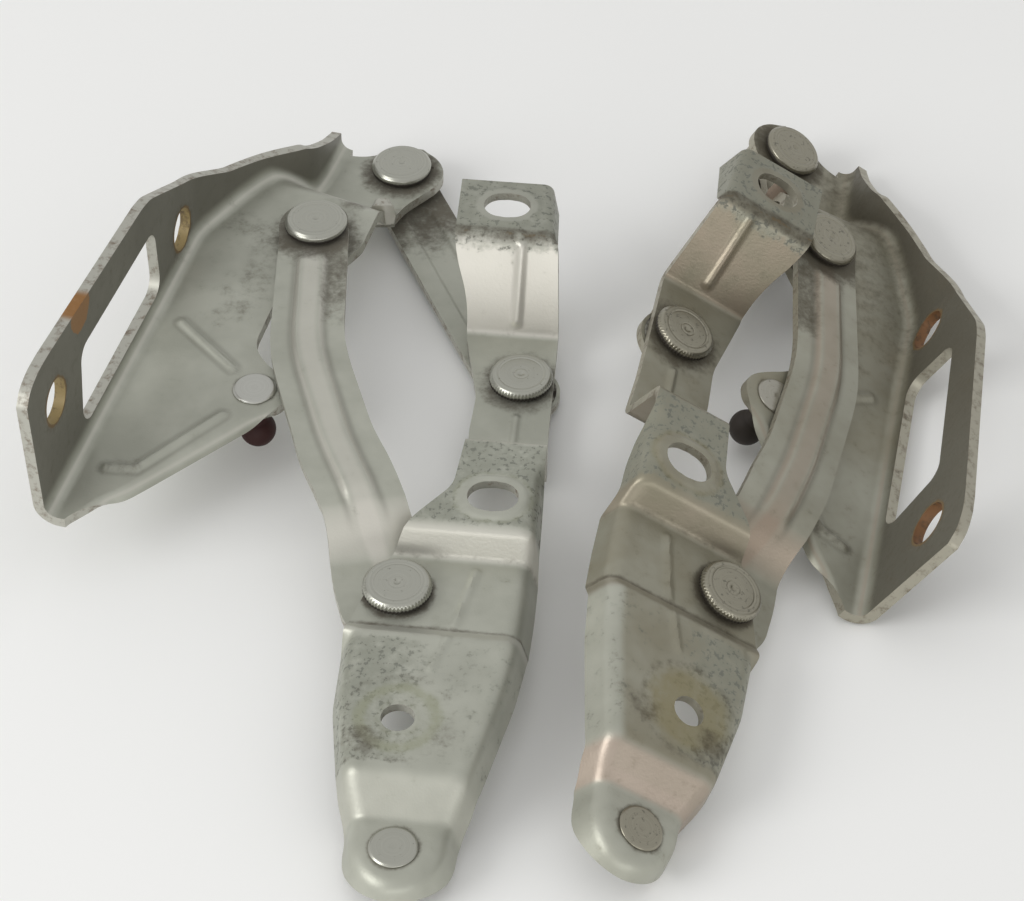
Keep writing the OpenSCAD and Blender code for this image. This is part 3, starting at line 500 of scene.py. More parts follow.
def body_bracket(side, sheet):
    """Bracket as a surface over the length v and the way across: front lip, web, fold and
    flange. Behind the notch only the web goes on, as the ear."""
    swing = np.radians(np.linspace(0, 90, 18))
    v = np.concatenate([np.linspace(FRONT_V, CORNER_V, 20)[:-1],
                        np.linspace(CORNER_V, EAR_V, 196)[:-1],
                        EAR_V + NOTCH_DEEP * (1 - np.cos(swing))[:-1],
                        np.linspace(EAR_V + NOTCH_DEEP, REAR_V, 8)])
    e, f = along(WEB_EDGE, v, WEB_BLUR), along(FOLD_EDGE, v, FOLD_BLUR)
    slant = along(FOLD_EDGE, v + 3, FOLD_BLUR) - along(FOLD_EDGE, v - 3, FOLD_BLUR)
    o = unit(np.stack([np.full_like(v, -6), slant], 1))
    a = np.radians(along(LIP_ANGLE, v, LIP_BLUR))
    inner = e - LIP_R * np.sin(a) - LIP_LEN * np.cos(a)
    b = a[:, None] * np.concatenate([np.ones(1), np.linspace(1, 0, LIP_COLS - 1)])
    x = LIP_LEN * np.concatenate([np.ones(1), np.zeros(LIP_COLS - 1)])
    lip = surface(inner[:, None] + LIP_R * np.sin(b) + x * np.cos(b), v[:, None],
                  web_level(e, v)[:, None] - LIP_R * (1 - np.cos(b)) - x * np.sin(b))
    notch = f + NOTCH_WIDE * np.sqrt(1 - np.clip(1 - (v - EAR_V) / NOTCH_DEEP, 0, 1) ** 2)
    rear = np.where(v > 60.5, 2 * EAR_UV[0] - e, -99)
    stop = np.where(v > EAR_V, np.minimum(np.maximum(notch, rear), inner - 0.5), f)
    u = inner[:, None] + (stop - inner)[:, None] * np.linspace(0, 1, WEB_COLS + 1)[1:]
    web = surface(u, v[:, None], web_level(u, v[:, None]))
    b = np.radians(np.linspace(0, 90, BEND_COLS))
    z0 = web_level(f, v)
    bend = surface(f[:, None] + FOLD_R * np.sin(b) * o[:, :1],
                   v[:, None] + FOLD_R * np.sin(b) * o[:, 1:],
                   z0[:, None] + FOLD_R * (1 - np.cos(b)))
    foot = z0 + FOLD_R
    top = np.maximum(foot + 0.4, WEB_Z + along(FLANGE_TOP, v, WEB_BLUR))
    h = foot[:, None] + (top - foot)[:, None] * np.linspace(0, 1, WALL_COLS + 1)[1:]
    flange = surface((f + FOLD_R * o[:, 0])[:, None], (v + FOLD_R * o[:, 1])[:, None], h)
    grid = np.concatenate([lip, web, bend, flange], 1)
    col = np.arange(grid.shape[1])
    on_wall = np.broadcast_to(col > WALL_START, grid.shape[:2])
    on_web = (col > LIP_COLS) & (col < WEB_END)
    at_level = lambda level: (np.abs(grid[..., 2] - level) < LEVEL_TOL) & on_web
    flat = np.where(col[None, :, None] >= WALL_START, grid[..., 1:], grid[..., :2])
    circle = lambda c, d, where: (stadium(c, d, d), HOLE_MARGIN, where)
    window = rounded_corners([(p, WEB_Z + q) for p, q in WINDOW], WINDOW_R)
    holes = [circle(HOLE_REAR, FLANGE_HOLE, on_wall), circle(HOLE_FRONT, FLANGE_HOLE, on_wall),
             (window, 1.6, on_wall), circle((0, 0), SHANK_D, at_level(WEB_Z)),
             circle(BRACKET_STUD, STUD_D, at_level(WEB_Z)),
             circle(EAR_UV, SHANK_D, at_level(EAR_Z))]
    p, n, faces = punch(grid, grid_normals(grid), flat, holes)
    # Behind the start of the ear the flange is cut off from the web, and it ends at FLANGE_V
    row, col = faces // len(col), faces % len(col)
    on_grid = faces.max(1) < grid.shape[0] * grid.shape[1]
    late = on_grid & (v[np.minimum(row.min(1), len(v) - 1)] >= EAR_V)
    strip = (col.min(1) == WEB_END) & (col.max(1) == WEB_END + 1)
    beyond = (v[np.minimum(row.max(1), len(v) - 1)] > FLANGE_V) & (col.min(1) >= WEB_END)
    faces = faces[~(late & (strip | beyond))]
    bead_d = np.minimum.reduce([to_segment(p, a, b) for a, b in WEB_BEADS])
    level = np.abs(p[:, 2] - WEB_Z) < 0.1
    p = p + n * (1.1 * ease(1 - bead_d / 1.9) * level)[:, None]
    bead_foot = ease(1 - np.abs(bead_d - 2.2) / 1.2) * level
    lug = stop_lug()
    lug_index = len(p) + np.arange(lug.size // 3).reshape(lug.shape[:2])
    on_lug = np.concatenate([np.zeros(len(p), bool), lug[..., 2].ravel() > EAR_Z + 4])
    bead_foot = np.concatenate([bead_foot, np.zeros(lug.size // 3)])
    faces = np.concatenate([faces, cells(lug_index).reshape(-1, 4)])
    n = np.concatenate([n, grid_normals(lug).reshape(-1, 3)])
    p = np.concatenate([p, lug.reshape(-1, 3)])
    near = lambda c, r, w: ease((r + w - np.hypot(p[:, 0] - c[0], p[:, 1] - c[1])) / w)
    smear = lambda a, b, w: ease(1 - to_segment(p, a, b) / w)
    on_flange = p[:, 0] < -33
    hole_r = lambda c: np.where(on_flange, np.hypot(p[:, 1] - c[0], p[:, 2] - c[1]), 99)
    holes_r = np.minimum(hole_r(HOLE_REAR), hole_r(HOLE_FRONT)) - FLANGE_HOLE / 2
    # Face of the flange above the web, which gets painted shade
    wall = ease((p[:, 2] - web_level(p[:, 0], p[:, 1]) - 1.5) / 4) * (p[:, 0] < -4)
    taped = ease((7.5 - np.hypot(p[:, 1] + 88, p[:, 2] - WEB_Z - 39.5)) / 3)
    marks = {
        # Dirt round the pivots and in smears over the rear web and ear; painted shade on the
        # flange's inner face and in a dark rim round its holes; on the right bracket, darker
        # towards the rear
        "grime_and_shade": np.maximum.reduce([
            near((0, 0), 9.5, 9) * 0.8, smear((-9, -4), (-14, -36), 14) * 0.36,
            smear((-24, 4), (-12, -14), 16) * 0.3, near(EAR_UV, 8.5, 8),
            near(BRACKET_STUD, 5.6, 1.6) * 0.6, smear((6, 20), (14, 30), 9) * 0.8, wall * 0.15,
            ease((p[:, 1] + 40) / 30) * (0.3 if side == "right" else 0.0),
            smear(*FRONT_BEAD, 5) * 0.5, ease(1 - holes_r / 5) * 0.55])
        * np.where(on_lug, 0.15, 1),
        # Painted highlight along the fold and on the lug
        "painted_sheen": np.where(on_lug, 0.9,
                           ease((n[:, 2] - 0.55) / 0.2) * ease((0.93 - n[:, 2]) / 0.2) * 0.5),
        # Painted shade, with some dirt, over the flange's inner face, and painted shade along the
        # beads' feet
        "tarnish_and_shade": np.maximum(wall * 0.9, bead_foot * 0.3),
        # Over the right hinge's bracket, thinner towards its front end
        "film": np.where(on_lug, 0.3, 1 - 0.45 * ease((-60 - p[:, 1]) / 20)) * (side == "right"),
        "rust": ease(1 - np.maximum(holes_r, 0) / 1.6),
        # What is left of a strip of tape on the left flange's edge
        "residue": taped * on_flange * (side == "left")}
    piece(side + "_bracket_pressing", side, "brackets", side + "_body_bracket",
          sheet, to_bench(side, WEB_AT, BRACKET_TURN, p), faces, marks, BRACKET_T, THICK_ROUND)


# ---- links
# Over x: the long link's middle line and half width
LONG_MID = [(-12, 0.4), (0, -0.6), (46, -9.6), (56, -10), (88, -8), (118, -3.2), (126, -1),
            (137, 0), (153, 0)]
LONG_HALF = [(-14, 10), (84, 10.6), (96, 11.4), (116, 11), (124, 13.6), (131, 15), (154, 15)]
MID_BLUR, HALF_BLUR, LONG_COLS = 6, 3, 44
REAR_TIP, REAR_END, FRONT_END, FRONT_TIP = -12.4, -2.4, 138.4, 152.4
REAR_R, FRONT_R = 10, 14
FALL_X, STEP_X0, STEP_X1, LONG_FALL = 104, 110.0, 123.0, 0.95
LONG_BEAD_H, LONG_BEAD_HALF = 1.5, 4.9
# Play of the turning bushes, of the open pivot's bush, and their wall
RUN_GAP, OPEN_GAP, BUSH_WALL = 0.05, 3.5, 1.0
BUSH_RO = SHANK_D / 2 + RUN_GAP + BUSH_WALL
CHANNEL_DEEP, CHANNEL_HALF, CHANNEL_ENDS = 1.1, 4.7, (0.17, 0.83)


def long_level(x):
    """Upper face of the long link: level over the web, a small fall, then the step under the
    arm."""
    high = LONG_TOP - LONG_FALL * np.clip((x - FALL_X) / (STEP_X0 - FALL_X), 0, 1)
    return high - (high - LONG_LOW) * ease((x - STEP_X0) / (STEP_X1 - STEP_X0))


def long_link(side, sheet):
    """Long link as a surface over its length and the way across, with a flat-topped bead."""
    ends = 1 - np.cos(np.linspace(0, 1, 24) * np.pi / 2)
    x = np.concatenate([REAR_TIP + REAR_R * ends[:-1], np.linspace(REAR_END, FRONT_END, 180)[:-1],
                        FRONT_TIP - FRONT_R * ends[::-1]])
    circle_end = lambda past: np.sqrt(np.clip(1 - np.clip(past, 0, 1) ** 2, 0, 1))
    round_end = circle_end((REAR_END - x) / REAR_R) * circle_end((x - FRONT_END) / FRONT_R)
    half = np.maximum(along(LONG_HALF, x, HALF_BLUR) * round_end, 0.02)
    mid = along(LONG_MID, x, MID_BLUR)[:, None]
    y = mid + half[:, None] * np.linspace(1, -1, LONG_COLS)
    bead = LONG_BEAD_H * ease((x - 10) / 5) * ease((114 - x) / 8)
    z = long_level(x)[:, None] + bead[:, None] * ease((LONG_BEAD_HALF - np.abs(y - mid)) / 2.0)
    grid = surface(x[:, None], y, z)[::-1]
    circle = lambda c: (stadium(c, 2 * BUSH_RO, 2 * BUSH_RO), 1.5, True)
    p, n, faces = punch(grid, grid_normals(grid), grid[..., :2],
                        [circle((0, 0)), circle((LONG_L, 0))], 4)
    x = p[:, 0]
    off_mid = p[:, 1] - along(LONG_MID, x, MID_BLUR)
    bead_foot = ease(1 - np.abs(np.abs(off_mid) - LONG_BEAD_HALF) / 1.5)
    marks = {
        # Round the rear rivet and on towards the middle along one side of the bead
        "grime_and_shade": np.maximum.reduce([ease((20 - np.hypot(x, p[:, 1])) / 11),
                                    ease((48 - x) / 18) * ease((off_mid - 1) / 5) * 0.7]),
        # Painted shade along the bead's feet
        "tarnish_and_shade": bead_foot * ease((118 - x) / 8) * ease((x - 8) / 6) * 0.4,
        # Painted highlight on slopes and on the bead's crest
        "painted_sheen": np.clip((1 - np.abs(n[:, 2])) * 2
                          + 0.5 * ease((3.4 - np.abs(off_mid)) / 2), 0, 1),
        "film": np.full(len(p), 0.6 * (side == "right"))}
    piece(side + "_long_bar", side, side + "_long", side + "_long_link", sheet,
          to_bench(side, WEB_AT, FOLD[side] + LONG_DIR, p), faces, marks, LINK_T, THIN_ROUND)


def short_link(side, sheet, degrees):
    """Short link: a flat bar over its length and width, and at each end rings that go from the
    end's outline, a circle joined to the bar's width, to the hole. A channel is pressed down
    along the middle, by the distance to its centre line."""
    w, end_r, reach, rings = 10.0, 11.0, 14.0, 5
    y = np.linspace(w, -w, 46)
    x = np.linspace(reach, SHORT_L - reach, 90)
    bar = surface(x[:, None], y, SHORT_TOP)
    i = np.arange(bar.size // 3).reshape(bar.shape[:2])
    points, faces = [bar.reshape(-1, 3)], [cells(i).reshape(-1, 4)[:, ::-1]]
    base = i.size
    join = math.asin(w / end_r)
    a = np.linspace(math.pi - join, -math.pi + join, 90)
    side_x = np.linspace(-reach, -end_r * math.cos(join), 12)[1:-1]
    loop = np.concatenate([np.stack([0 * y - reach, y], 1)[::-1],
                           np.stack([side_x, 0 * side_x + w], 1),
                           np.stack([end_r * np.cos(a), end_r * np.sin(a)], 1),
                           np.stack([side_x[::-1], 0 * side_x - w], 1)])
    k = np.linspace(0, 1, rings + 1)[:, None, None]
    open_r = SHANK_D / 2 + OPEN_GAP + BUSH_WALL
    for centre, g, hole in ((0.0, -1, BUSH_RO), (SHORT_L, 1, open_r)):
        ring = loop + (unit(loop) * hole - loop) * k
        ring = surface(centre + g * ring[..., 0], ring[..., 1], SHORT_TOP)
        layer = base + np.arange(ring.size // 3).reshape(rings + 1, len(loop))
        nxt = np.roll(layer, -1, 1)
        quads = np.stack([layer[:-1], nxt[:-1], nxt[1:], layer[1:]], -1).reshape(-1, 4)
        faces.append(quads if g < 0 else quads[:, ::-1])
        points.append(ring.reshape(-1, 3))
        base += ring.size // 3
    p, faces = np.concatenate(points), np.concatenate(faces)
    channel = to_segment(p, *[(share * SHORT_L, 0) for share in CHANNEL_ENDS])
    p[:, 2] -= CHANNEL_DEEP * ease((CHANNEL_HALF - channel) / 1.2)
    # Grease and painted shadow from the ear near the ear end, and darker towards the far end
    marks = {"grime_and_shade": np.maximum(ease((44 - p[:, 0]) / 30),
                                 0.35 * ease((p[:, 0] - SHORT_L + 24) / 10)),
             "film": np.full(len(p), 1.0 * (side == "right"))}
    piece(side + "_short_bar", side, side + "_short", side + "_short_link", sheet,
          to_bench(side, EAR_AT, degrees, p), faces, marks, LINK_T, THIN_ROUND)


# ---- turned pieces
HEAD_D, HEAD_H, TAIL_D, TAIL_H = 18.0, 4.0, 16.0, 2.4
WASHER_R, WIDE_WASHER_R = 8, 10
STUD_HEAD_R, STUD_COLLAR_H, STUD_NECK = 6, 1.4, 0.62
# Balls of the studs: diameter and level of the middle
BRACKET_BALL, TONGUE_BALL = (10, 8.4), (9, 4.5)
# Knurl: teeth round a head, their depth, and their ends under the head's top
KNURL, TOOTH_H, TOOTH_LOW, TOOTH_HIGH = 56, 0.22, 3.2, 0.9
PLAIN_SIDES, TOOTH_SIDES = 120, 6
# The radius attribute counts tens of millimetres
RADIUS_UNIT = 10


def lathe(profile, count, teeth, tooth_z):
    """Surface of revolution: a closed outline of (radius, height) turned about z. Between two
    heights the radius swings in and out, once for each tooth of a knurled rim."""
    r, z = np.array(profile, float).T
    a = np.linspace(0, 2 * np.pi, count, endpoint=False)[:, None]
    rim = ((z >= tooth_z[0]) & (z <= tooth_z[1]) & (r > 0.9 * r.max())).astype(float)
    rr = r - TOOTH_H * rim * (0.5 - 0.5 * np.cos(a * teeth))
    p = surface(rr * np.cos(a), rr * np.sin(a), z)
    i = np.arange(count * len(r)).reshape(count, len(r))
    j = np.roll(i, -1, 0)
    faces = np.stack([i[:, :-1], j[:, :-1], j[:, 1:], i[:, 1:]], -1).reshape(-1, 4)
    return p.reshape(-1, 3), faces


def fillet(points, radius=0.25, count=4):
    """Outline with its corners rounded: each inner corner becomes a short curve between
    points at equal reach on its two sides."""
    p = np.array(points, float)
    out = [p[:1]]
    t = np.linspace(0, 1, count)[:, None]
    for a, b, c in zip(p, p[1:], p[2:]):
        k = min(radius, 0.45 * np.linalg.norm(a - b), 0.45 * np.linalg.norm(c - b))
        s = b + unit(a - b) * k
        e = b + unit(c - b) * k
        out.append((1 - t) ** 2 * s + 2 * t * (1 - t) * b + t ** 2 * e)
    return np.concatenate(out + [p[-1:]])


def rivet_outline(top, low, tail_z):
    """Rivet from the middle of its tail to the middle of its head: closed tail, shank, collar,
    flat head with a fine turned ring and a centre dimple."""
    r, s, tail = HEAD_D / 2, SHANK_D / 2, TAIL_D / 2
    head = top + HEAD_H
    return fillet([
        (0, tail_z), (tail - 0.8, tail_z), (tail, tail_z + 0.6), (tail, low), (s, low), (s, top),
        (r - 2, top), (r - 2, top + 1.2), (r, top + 1.2), (r, head - 1.0), (r - 1.0, head),
        (r - 2.4, head), (r - 2.6, head - 0.12), (r - 2.9, head - 0.12), (r - 3.1, head),
        (2.3, head), (2.0, head - 0.14), (1.7, head - 0.02), (1.0, head - 0.05), (0, head - 0.7)])


def ring_outline(inner, outer, low, high):
    """Closed outline of a plain ring."""
    return fillet([((inner + outer) / 2, low), (outer, low), (outer, high), (inner, high),
                   (inner, low), ((inner + outer) / 2, low)], 0.15)


def stud_outline(top, t, ball_d, ball_z):
    """Ball stud from the bottom of its ball to the middle of its head."""
    b, r, s, under = ball_d / 2, STUD_HEAD_R, STUD_D / 2, top - t
    neck = math.degrees(math.asin(STUD_NECK))
    w = np.radians(90 - neck - (180 - neck) * np.linspace(0, 1, 30))
    ball = np.stack([b * np.cos(w), ball_z + b * np.sin(w)], 1)
    head = fillet([
        (0, top + 0.7), (1.2, top + 0.9), (r - 0.6, top + 0.9), (r, top + 0.4), (r, top),
        (s, top), (s, under), (r, under), (r, under - STUD_COLLAR_H),
        (b * STUD_NECK, under - STUD_COLLAR_H), tuple(ball[0])], 0.3)
    return np.concatenate([head, ball[1:]])[::-1]


def turned(side, label, body, node, steel, centre, outline, teeth=0):
    """Turned piece set up at a pivot or stud of its hinge."""
    top = outline[:, 1].max()
    p, faces = lathe(outline, TOOTH_SIDES * teeth if teeth else PLAIN_SIDES, teeth,
                     (top - TOOTH_LOW, top - TOOTH_HIGH))
    # Radius for the turned rings; grease and painted shade below the head's top
    marks = {"radius": np.hypot(p[:, 0], p[:, 1]) / RADIUS_UNIT,
             "grime_and_shade": ease((top - 1.2 - p[:, 2]) / 1.2)}
    piece(side + "_" + label, side, body, side + "_" + node, [steel],
          to_bench(side, centre, 0, p), faces, marks)


# ---- finishes
TAPE_BROWN = "#9a7145"


def colour(text):
    """sRGB hex to linear, with full alpha."""
    c = np.array([int(text[i:i + 2], 16) for i in (1, 3, 5)]) / 255
    return [*np.where(c <= 0.04045, c / 12.92, ((c + 0.055) / 1.055) ** 2.4), 1.0]


def feed(tree, node, inputs):
    """Links or sets a node's inputs, from a list in the order of its sockets or a table by
    socket. A colour is written as sRGB hex."""
    for key, value in inputs.items() if isinstance(inputs, dict) else enumerate(inputs):
        if isinstance(value, bpy.types.NodeSocket):
            tree.links.new(value, node.inputs[key])
        else:
            node.inputs[key].default_value = colour(value) if isinstance(value, str) else value


def add(tree, kind, inputs=(), out=0, **settings):
    """Adds a shader node with its own settings, feeds its inputs and gives back one output. A
    map range takes its value, the range that comes in and the range that goes out. A colour
    mix has its share at socket 0, its colours at 6 and 7 and its result at 2."""
    node = tree.nodes.new("ShaderNode" + kind)
    for key, value in settings.items():
        setattr(node, key, value)
    feed(tree, node, inputs)
    return node.outputs[out]


def new_finish(name, marks=()):
    """New material: itself, its tree, its shader, its Object coordinates and the marks it
    reads."""
    m = bpy.data.materials.new(name)
    m.use_nodes = True
    t = m.node_tree
    return (m, t, t.nodes["Principled BSDF"], add(t, "TexCoord", out="Object"),
            [add(t, "Attribute", out="Fac", attribute_name=mark) for mark in marks])


def pressed_sheet(name, sheen_tone, stain_tone, soil_and_shade_tone, dirt):
    """Zinc-coated steel sheet, pressed and long in use. The coat gives a soft silver-grey sheen
    that clouds over, with a painted sheen on slopes and bends, pale on the left hinge and pink on
    the right. Flat pads that were clamped carry worm-like grey pits, bolts leave a yellow ring,
    holes rust, a khaki film of dust dulls the right hinge but for some clear places, road dirt
    sits round the rivets, and painted shade darkens creases, bead feet and the flange's inner
    face."""
    m, t, shader, place, marks = new_finish(name, (
        "grime_and_shade", "painted_sheen", "corrosion", "stain", "rust", "tarnish_and_shade", "film", "residue"))
    grime_and_shade, painted_sheen, corrosion, stain, rust, tarnish_and_shade, film, residue = marks
    # Clouds of 20 mm in the zinc, dirt patches of 5 mm, pits of 1.7 mm and grain of 0.8 mm,
    # coarser than the real 0.1 mm
    cloud, patch, pit, grain = [
        add(t, "TexNoise", {"Vector": place, "Scale": MM_PER_M / size, "Detail": detail,
                            "Roughness": 0.65})
        for size, detail in ((20, 3), (5, 6), (1.7, 2), (0.8, 1))]
    # Patches and pits tear the edges of the grime with its painted shade, of corrosion, stains,
    # rust and tape; dirt lowers where the grime and painted shade begin
    ragged = add(t, "Math", [patch, 1.3, -1.0], operation="MULTIPLY_ADD")
    ragged = add(t, "Math", [pit, 0.7, ragged], operation="MULTIPLY_ADD")
    soiled_and_shaded, corroded, stained, rusted, taped = [
        add(t, "MapRange", [add(t, "Math", [mark, ragged], operation="ADD"), low, high],
            interpolation_type="SMOOTHSTEP")
        for mark, low, high in (
            (grime_and_shade, 0.22 - dirt, 1.15 - dirt), (corrosion, 0.3, 0.9), (stain, 0.1, 1.2),
            (rust, 0.35, 0.8), (residue, 0.4, 0.55))]
    worms = add(t, "MapRange", [pit, 0.55, 0.63], interpolation_type="SMOOTHSTEP")
    pitted = add(t, "Math", [worms, corroded], operation="MULTIPLY")
    clouded = add(t, "MapRange", [cloud, 0.35, 0.65])
    dusted = add(t, "MapRange", [cloud, 0.35, 0.65, 0.7, 1])
    filmed = add(t, "Math", [film, dusted], operation="MULTIPLY")
    tone = add(t, "Mix", {0: clouded, 6: "#b5b6aa", 7: "#a7a89c"}, 2, data_type="RGBA")
    # Layers over the tone: painted sheen, dust film, tarnish with painted shade, corrosion, pits,
    # stains, grime with painted shade, rust and tape
    for share, most, layer in (
            (painted_sheen, 1.0, sheen_tone), (filmed, 0.95, "#898471"), (tarnish_and_shade, 0.85, "#5d594f"),
            (corroded, 0.6, "#898b7e"), (pitted, 0.7, "#666860"), (stained, 0.7, stain_tone),
            (soiled_and_shaded, 0.85, soil_and_shade_tone), (rusted, 0.85, "#6f5a38"), (taped, 0.9, TAPE_BROWN)):
        cover = add(t, "Math", [share, most], operation="MULTIPLY")
        tone = add(t, "Mix", {0: cover, 6: tone, 7: layer}, 2, data_type="RGBA")
    matt = soiled_and_shaded
    for other in (pitted, stained, rusted):
        matt = add(t, "Math", [matt, other], operation="MAXIMUM")
    rough = 0.38
    for value, weight in ((cloud, 0.1), (painted_sheen, -0.1), (matt, 0.35)):
        rough = add(t, "Math", [value, weight, rough], operation="MULTIPLY_ADD")
    height = grain
    for value, weight in ((pitted, -1.2), (soiled_and_shaded, 0.8)):
        height = add(t, "Math", [value, weight, height], operation="MULTIPLY_ADD")
    relief = add(t, "Bump", {"Height": height, "Strength": 0.3, "Distance": 0.12 * MM})
    feed(t, shader, {"Base Color": tone, "Roughness": rough, "Normal": relief,
                     "Metallic": add(t, "MapRange", [matt, 0, 1, 0.5, 0.1])})
    return m


def sheared_edge(name, bare, browned, bore):
    """Cut edge of the sheet: drawn bare steel, brighter than the faces, browned in spots of 3 mm
    and yellow with old passivation and rust inside the bolt holes."""
    m, t, shader, place, (rust, residue) = new_finish(name, ("rust", "residue"))
    spots = add(t, "TexNoise", {"Vector": place, "Scale": MM_PER_M / 3, "Detail": 5,
                                "Roughness": 0.7})
    browning = add(t, "MapRange", [spots, 0.5, 0.68])
    tone, lining = [add(t, "Mix", {0: browning, 6: clean, 7: brown}, 2, data_type="RGBA")
                    for clean, brown in ((bare, browned), (bore, "#453726"))]
    for share, layer in ((rust, lining), (residue, TAPE_BROWN)):
        tone = add(t, "Mix", {0: share, 6: tone, 7: layer}, 2, data_type="RGBA")
    matt = add(t, "Math", [browning, rust], operation="MAXIMUM")
    feed(t, shader, {"Base Color": tone, "Metallic": add(t, "MapRange", [matt, 0, 1, 0.8, 0.2]),
                     "Roughness": add(t, "MapRange", [spots, 0, 1, 0.3, 0.7])})
    return m


def headed_steel(name, plate, dull, grease, specks):
    """Zinc-plated steel, cold headed and faced on a lathe: bright, with fine rings that follow
    the piece's own radius, grey specks of 1.2 mm, dark grease on a stud's ball, and dark grease
    with painted shade below the top of a head."""
    m, t, shader, place, (radius, grime_and_shade) = new_finish(name, ("radius", "grime_and_shade"))
    # Rings of 0.5 mm, coarser than the real feed of 0.1 mm
    rings = add(t, "TexNoise", {"W": radius, "Scale": RADIUS_UNIT / 0.5, "Detail": 2},
                noise_dimensions="1D")
    fleck, patch = [add(t, "TexNoise", {"Vector": place, "Scale": MM_PER_M / size, "Detail": 4,
                                        "Roughness": 0.7}) for size in (1.2, 4)]
    smear_and_shade = add(t, "Math", [grime_and_shade, patch], operation="ADD")
    flecked, greased_and_shaded = [
        add(t, "MapRange", [value, low, high], interpolation_type="SMOOTHSTEP")
        for value, low, high in ((fleck, 0.66 - specks, 0.76 - specks), (smear_and_shade, 0.62, 1.1))]
    tone = add(t, "Mix", {0: rings, 6: plate, 7: dull}, 2, data_type="RGBA")
    for share, layer in ((flecked, "#6b685c"), (greased_and_shaded, grease)):
        tone = add(t, "Mix", {0: share, 6: tone, 7: layer}, 2, data_type="RGBA")
    dirty = add(t, "Math", [flecked, greased_and_shaded], operation="MAXIMUM")
    height = add(t, "Math", [flecked, -0.8, rings], operation="MULTIPLY_ADD")
    relief = add(t, "Bump", {"Height": height, "Strength": 0.25, "Distance": 0.1 * MM})
    feed(t, shader, {"Base Color": tone, "Normal": relief,
                     "Metallic": add(t, "MapRange", [dirty, 0, 1, 0.88, 0.15]),
                     "Roughness": add(t, "MapRange", [dirty, 0, 1, 0.3, 0.62])})
    return m


def worn_ring(name, clean, dark, rough):
    """Turned bush or washer between the sheets: its metal shows in streaks of 2 mm through old
    grease."""
    m, t, shader, place, _ = new_finish(name)
    streaks = add(t, "TexNoise", {"Vector": place, "Scale": MM_PER_M / 2, "Detail": 4})
    share = add(t, "MapRange", [streaks, 0.38, 0.62])
    tone = add(t, "Mix", {0: share, 6: clean, 7: dark}, 2, data_type="RGBA")
    feed(t, shader, {"Base Color": tone, "Metallic": 0.8,
                     "Roughness": add(t, "MapRange", [share, 0, 1, rough, 0.65])})
    return m


# Per side: painted sheen tone of slopes and bends, stain tone, tone of grime and painted shade and
# how far it spreads; then the cut edge's bare, browned and bore tones
SHEETS = {
    "left": [pressed_sheet("zinc_coated_sheet_silver", "#d0cdc3", "#8f917a", "#544d40", 0.06),
             sheared_edge("sheared_edge_silver", "#b9b8ae", "#75695a", "#86754d")],
    "right": [pressed_sheet("zinc_coated_sheet_khaki", "#ab9486", "#847b57", "#4d4637", 0.16),
              sheared_edge("sheared_edge_khaki", "#aba798", "#6b6252", "#73502f")]}
# Per side: plate and ring tones, tone of grease and painted shade, and specks
RIVETS = {
    "left": headed_steel("zinc_plated_rivet_bright", "#b7b7ad", "#a8a89e", "#2d2822", 0.04),
    "right": headed_steel("zinc_plated_rivet_dull", "#a19d8e", "#8d897a", "#2f2a22", 0.09)}
STUDS = {
    "left": headed_steel("ball_stud_red_grease", "#c6c6c0", "#b6b6ae", "#35120e", 0.0),
    "right": headed_steel("ball_stud_dark_grease", "#b0ada2", "#9d9a8f", "#37302a", 0.06)}
BRONZE = worn_ring("sintered_bronze_bush", "#a5814f", "#3c3226", 0.35)
WASHER = worn_ring("greased_steel_washer", "#8c8a81", "#35312b", 0.4)


# ---- assembly
def on_piece(origin, degrees, uv):
    """Place in the hinge's plane of a point of a piece that is turned about its origin."""
    return origin + turn(2, degrees)[:2, :2] @ np.array(uv)


